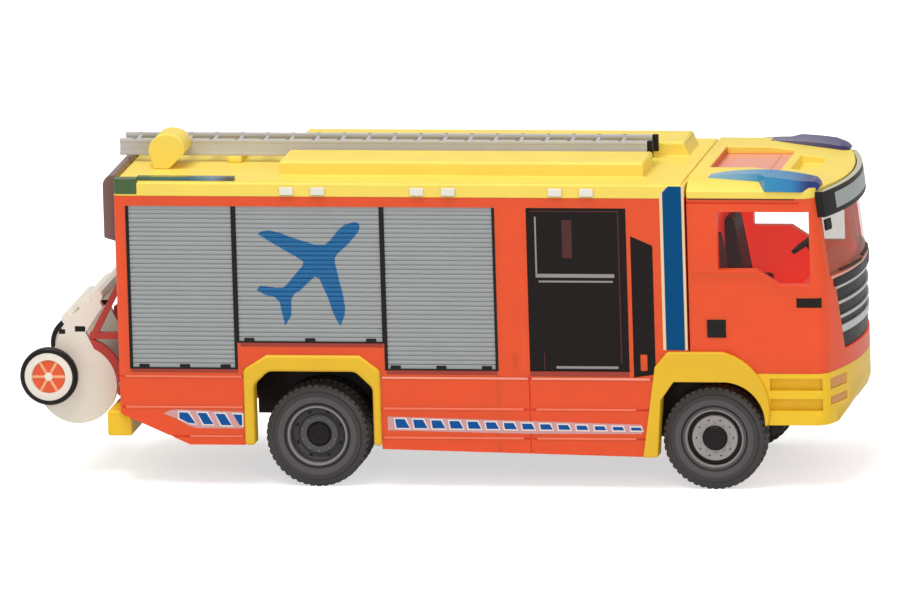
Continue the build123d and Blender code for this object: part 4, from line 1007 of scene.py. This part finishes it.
# A raised rim runs under the side window, and a thin dark strip of painted shadow lies in the joint where
# the roof sits on the shell
cab_side = 14.2
rim_line = bmesh.new()
joint_painted_shadow = bmesh.new()
for sign in (1, -1):
    y0, y1 = sorted((sign * (cab_side - 0.05), sign * (cab_side + 0.10)))
    prism(rim_line, from_front_axle([(-2.2, 26.8), (6.0, 26.8), (8.8, 24.98), (12.5, 24.98), (12.5, 24.5),
                                     (8.65, 24.5), (5.85, 26.32), (-2.2, 26.32)]), y0, y1)
    y0, y1 = sorted((sign * (cab_side - 0.05), sign * (cab_side + 0.02)))
    prism(joint_painted_shadow, from_front_axle([(-2.4, 35.88), (10.6, 35.88), (10.6, 36.02), (-2.4, 36.02)]), y0, y1)
fitted("belt_rim", rim_line, orange, "root", smooth=30)
fitted("roof_joint", joint_painted_shadow, moulded("joint_shade", (0.16, 0.03, 0.015), 0.5), "root", smooth=30)
softened("vent_slots", "side_vents", black, 0.05)


def clear_sheet(tint, cover):
    """Thin clear moulding that lets nearly all light through."""
    material = bpy.data.materials.new("clear_glass")
    material.use_nodes = True
    skin = material.node_tree.nodes["Principled BSDF"]
    skin.inputs["Base Color"].default_value = (*tint, 1)
    skin.inputs["Roughness"].default_value = 0.05
    skin.inputs["Alpha"].default_value = cover
    return material


dress(clear_sheet((0.80, 0.83, 0.83), 0.015), "door_windows")
dress(clear_sheet((0.17, 0.11, 0.035), 0.4), "windscreen")

# Inside the cab: a red tub with dashboard and engine tunnel, given a faint painted glow, two black seats
# and the steering wheel.
dress(interior_red, "cab_interior")
seat_black = moulded("black", (0.020, 0.004, 0.003), 0.5, shine=0.1)
softened("seat_mouldings", "seats", seat_black, 0.4, steps=3)
dress(black, "steering_wheel")

# Cab front: sun visor, black grille panel with silver bars, yellow bumper with steps and lamps.
softened("visor_moulding", "sun_visor", black, 0.15, steps=3)
softened("grille_panel", "grille", black, 0.06)
silver = moulded("silver", (0.50, 0.50, 0.49), 0.3, coat=0.2)
front_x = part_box("cab_shell")[1].x / mm
bow_depth = 2.9
bow_radius = (cab_side ** 2 + bow_depth ** 2) / (2 * bow_depth)
belt = 25.6
orange_top = 36.0
screen_lean = 1.2 / (orange_top - belt)


def bowed(form, y0, y1, low, high, inner, outer, steps=16):
    """Adds a strip that follows the bowed and leaning front between two offsets from it.

    low and high give its height at y0 and at y1."""
    columns = []
    for i in range(steps + 1):
        share = i / steps
        y = y0 + (y1 - y0) * share
        z0 = low[0] + (low[1] - low[0]) * share
        z1 = high[0] + (high[1] - high[0]) * share
        column = []
        for out, z in ((inner, z0), (outer, z0), (outer, z1), (inner, z1)):
            lean = max(0, z - belt) * screen_lean
            x = front_x - bow_radius + math.sqrt((bow_radius + out) ** 2 - y ** 2) - lean
            column.append(form.verts.new((min(x, front_x) * mm, y * mm, z * mm)))
        columns.append(column)
    faces = [form.faces.new(columns[0]), form.faces.new(columns[-1][::-1])]
    for here, there in zip(columns, columns[1:]):
        for j in range(4):
            faces.append(form.faces.new((here[j], here[(j + 1) % 4], there[(j + 1) % 4], there[j])))
    bmesh.ops.recalc_face_normals(form, faces=faces)


visor_grey = moulded("visor_grey", (0.36, 0.40, 0.38), 0.35)
panel = bmesh.new()
bowed(panel, -10.2, 10.2, (34.2, 34.2), (36.1, 36.1), 0.85, 0.93)
fitted("visor_panel", panel, visor_grey, "root", smooth=30)
edge_cream = moulded("visor_edge", (0.52, 0.50, 0.36), 0.4)
edge = bmesh.new()
bowed(edge, -12.9, 12.9, (36.6, 36.6), (36.74, 36.74), 0.25, 0.88)
fitted("visor_edge", edge, edge_cream, "root", smooth=30)
cowl = bmesh.new()
bowed(cowl, -11.6, 11.6, (24.75, 24.75), (25.7, 25.7), -0.1, 0.16)
for y0, y1, z0, z1 in ((-9.6, -1.2, 26.35, 26.0), (-0.4, 8.2, 26.35, 26.0)):
    bowed(cowl, y0, y1, (z0, z1), (z0 + 0.2, z1 + 0.2), -0.12, 0.12)
for sign in (1, -1):
    y0, y1 = sorted((sign * 11.8, sign * 10.4))
    bowed(cowl, y0, y1, (31.7, 31.7), (33.0, 33.0), -0.1, 0.12, 4)
fitted("wipers_and_cowl", cowl, black, "root", smooth=30)
foot_line = bmesh.new()
bowed(foot_line, -12.0, 12.0, (25.78, 25.78), (26.05, 26.05), -0.05, 0.06)
fitted("screen_foot_line", foot_line, moulded("foot_line", (0.70, 0.45, 0.38), 0.35), "root", smooth=30)
dress(silver, "grille_bars")
softened("bumper_moulding", "front_bumper", yellow, 0.12)
softened("lamp_lenses", "headlamps", amber_lens, 0.08)
for side, plastic, share in (("left", far_lens, 0.6), ("right", blue_lens, 0.78)):
    lens = softened(f"beacon_lens_{side}", f"beacon_{side}", plastic, 0.2, angle=30, steps=3)
    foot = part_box(f"beacon_{side}")[0].z
    for vertex in lens.data.vertices:
        vertex.co.z = foot + (vertex.co.z - foot) * share

# Hose reel trolley: a cream frame with the wound hose, two spoked wheels with black tyres,
# and the rack that holds it to the rear of the body, its orange-red plastic painted a darker red as shade.
cream = moulded("cream", (0.84, 0.79, 0.69), 0.42)
red = moulded("red", (0.50, 0.05, 0.038), 0.35)
softened("trolley_frame", "reel_frame", cream, 0.15, steps=3)
softened("rack_moulding", "reel_rack", red, 0.12)
hose_low, hose_high = (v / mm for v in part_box("reel_hose"))
hose_centre = (hose_low + hose_high) / 2
hose_offset = 0.7
cheek_face = 8.4
cheek_x = hose_centre.x - hose_offset
frame_slots = ((-2.1, -1.3, 6.2, 6.8), (-0.1, 1.2, 6.5, 7.2))
slot_shade = bmesh.new()
for x0, x1, z0, z1 in frame_slots:
    paired(slot_shade, cheek_x + x0, cheek_x + x1, cheek_face - 0.1, cheek_face - 0.5, hose_centre.z + z0,
           hose_centre.z + z1)
fitted("slot_shades", slot_shade, black, "root", smooth=30)
hose_radius = (hose_high.z - hose_low.z) / 2
hose_bore = 0.42
winding = [(hose_low.y, 0.5)]
turns = int((hose_high.y - hose_low.y) / (2 * hose_bore))
for i in range(turns):
    middle = hose_low.y + (i + 0.5) * (hose_high.y - hose_low.y) / turns
    for k in range(7):
        angle = math.pi * k / 6
        winding.append((middle - hose_bore * math.cos(angle),
                        hose_radius - hose_bore + hose_bore * math.sin(angle)))
winding.append((hose_high.y, 0.5))
hose = moulded("hose", (0.62, 0.55, 0.46), 0.55, grain=0.2)
fitted("wound_hose", moved(turned(winding, 72), hose_centre.x, 0, hose_centre.z), hose, "root", "reel_hose",
       smooth=30)

tyre_low, tyre_high = (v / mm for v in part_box("reel_tyres"))
reel_axle = (tyre_low + tyre_high) / 2
reel_radius = (tyre_high.z - tyre_low.z) / 2
reel_face = tyre_high.y
reel_width = 1.3
spoke_count = 6
reel_orange = moulded("reel_orange", (0.80, 0.11, 0.035), 0.35)
spoke_orange = moulded("spoke_orange", (0.92, 0.42, 0.22), 0.4)
rings, discs, spokes, bars = [], [], [], []
for sign in (1, -1):
    tyre_ring = [(reel_face, reel_radius - 0.42), (reel_face - 0.05, reel_radius - 0.2),
                 (reel_face - 0.3, reel_radius), (reel_face - reel_width + 0.3, reel_radius),
                 (reel_face - reel_width + 0.05, reel_radius - 0.2), (reel_face - reel_width,
                                                                      reel_radius - 0.62),
                 (reel_face - 0.12, reel_radius - 0.62)]
    rings.append(turned([(sign * y, r) for y, r in tyre_ring], 72))
    disc = [(reel_face - 0.10, 2.95), (reel_face - 0.06, 2.85), (reel_face - 0.04, 2.10),
            (reel_face - 0.30, 2.02), (reel_face - 0.34, 0.0), (reel_face - reel_width + 0.1, 0.0),
            (reel_face - reel_width + 0.1, 2.95)]
    discs.append(turned([(sign * y, r) for y, r in disc], 72))
    discs.append(turned([(sign * y, r) for y, r in ((0.0, 0.0), (0.0, 0.5), (reel_face - 0.5, 0.5),
                                                    (reel_face - 0.5, 0.0))], 24))
    spoke = bmesh.new()
    y0, y1 = sorted((sign * (reel_face - 0.4), sign * (reel_face - 0.12)))
    brick(spoke, -0.17, 0.17, y0, y1, 0.3, 2.06, 0.05)
    bars.append(ring_of(spoke, spoke_count, spoke_orange, (0, 0, 0), math.pi / spoke_count))
    boss = [(reel_face - 0.4, 0.0), (reel_face - 0.02, 0.0), (reel_face - 0.02, 0.4),
            (reel_face - 0.1, 0.5), (reel_face - 0.4, 0.55)]
    discs.append(turned([(sign * y, r) for y, r in boss], 32))
    face = [(reel_face - 0.335, 0.0), (reel_face - 0.2, 0.05), (reel_face - 0.2, 1.98),
            (reel_face - 0.335, 2.02)]
    spokes.append(turned([(sign * y, r) for y, r in face], 48))
fitted("reel_tyre_rings", moved(joined(*rings), reel_axle.x, 0, reel_axle.z), black, "reel_wheel_pair",
       "reel_tyres")
fitted("reel_wheel_discs", moved(joined(*discs), reel_axle.x, 0, reel_axle.z), cream, "reel_wheel_pair",
       "reel_wheels")
fitted("reel_wheel_spokes", moved(joined(*bars), reel_axle.x, 0, reel_axle.z), spoke_orange,
       "reel_wheel_pair")
fitted("reel_wheel_centres", moved(joined(*spokes), reel_axle.x, 0, reel_axle.z), reel_orange,
       "reel_wheel_pair")
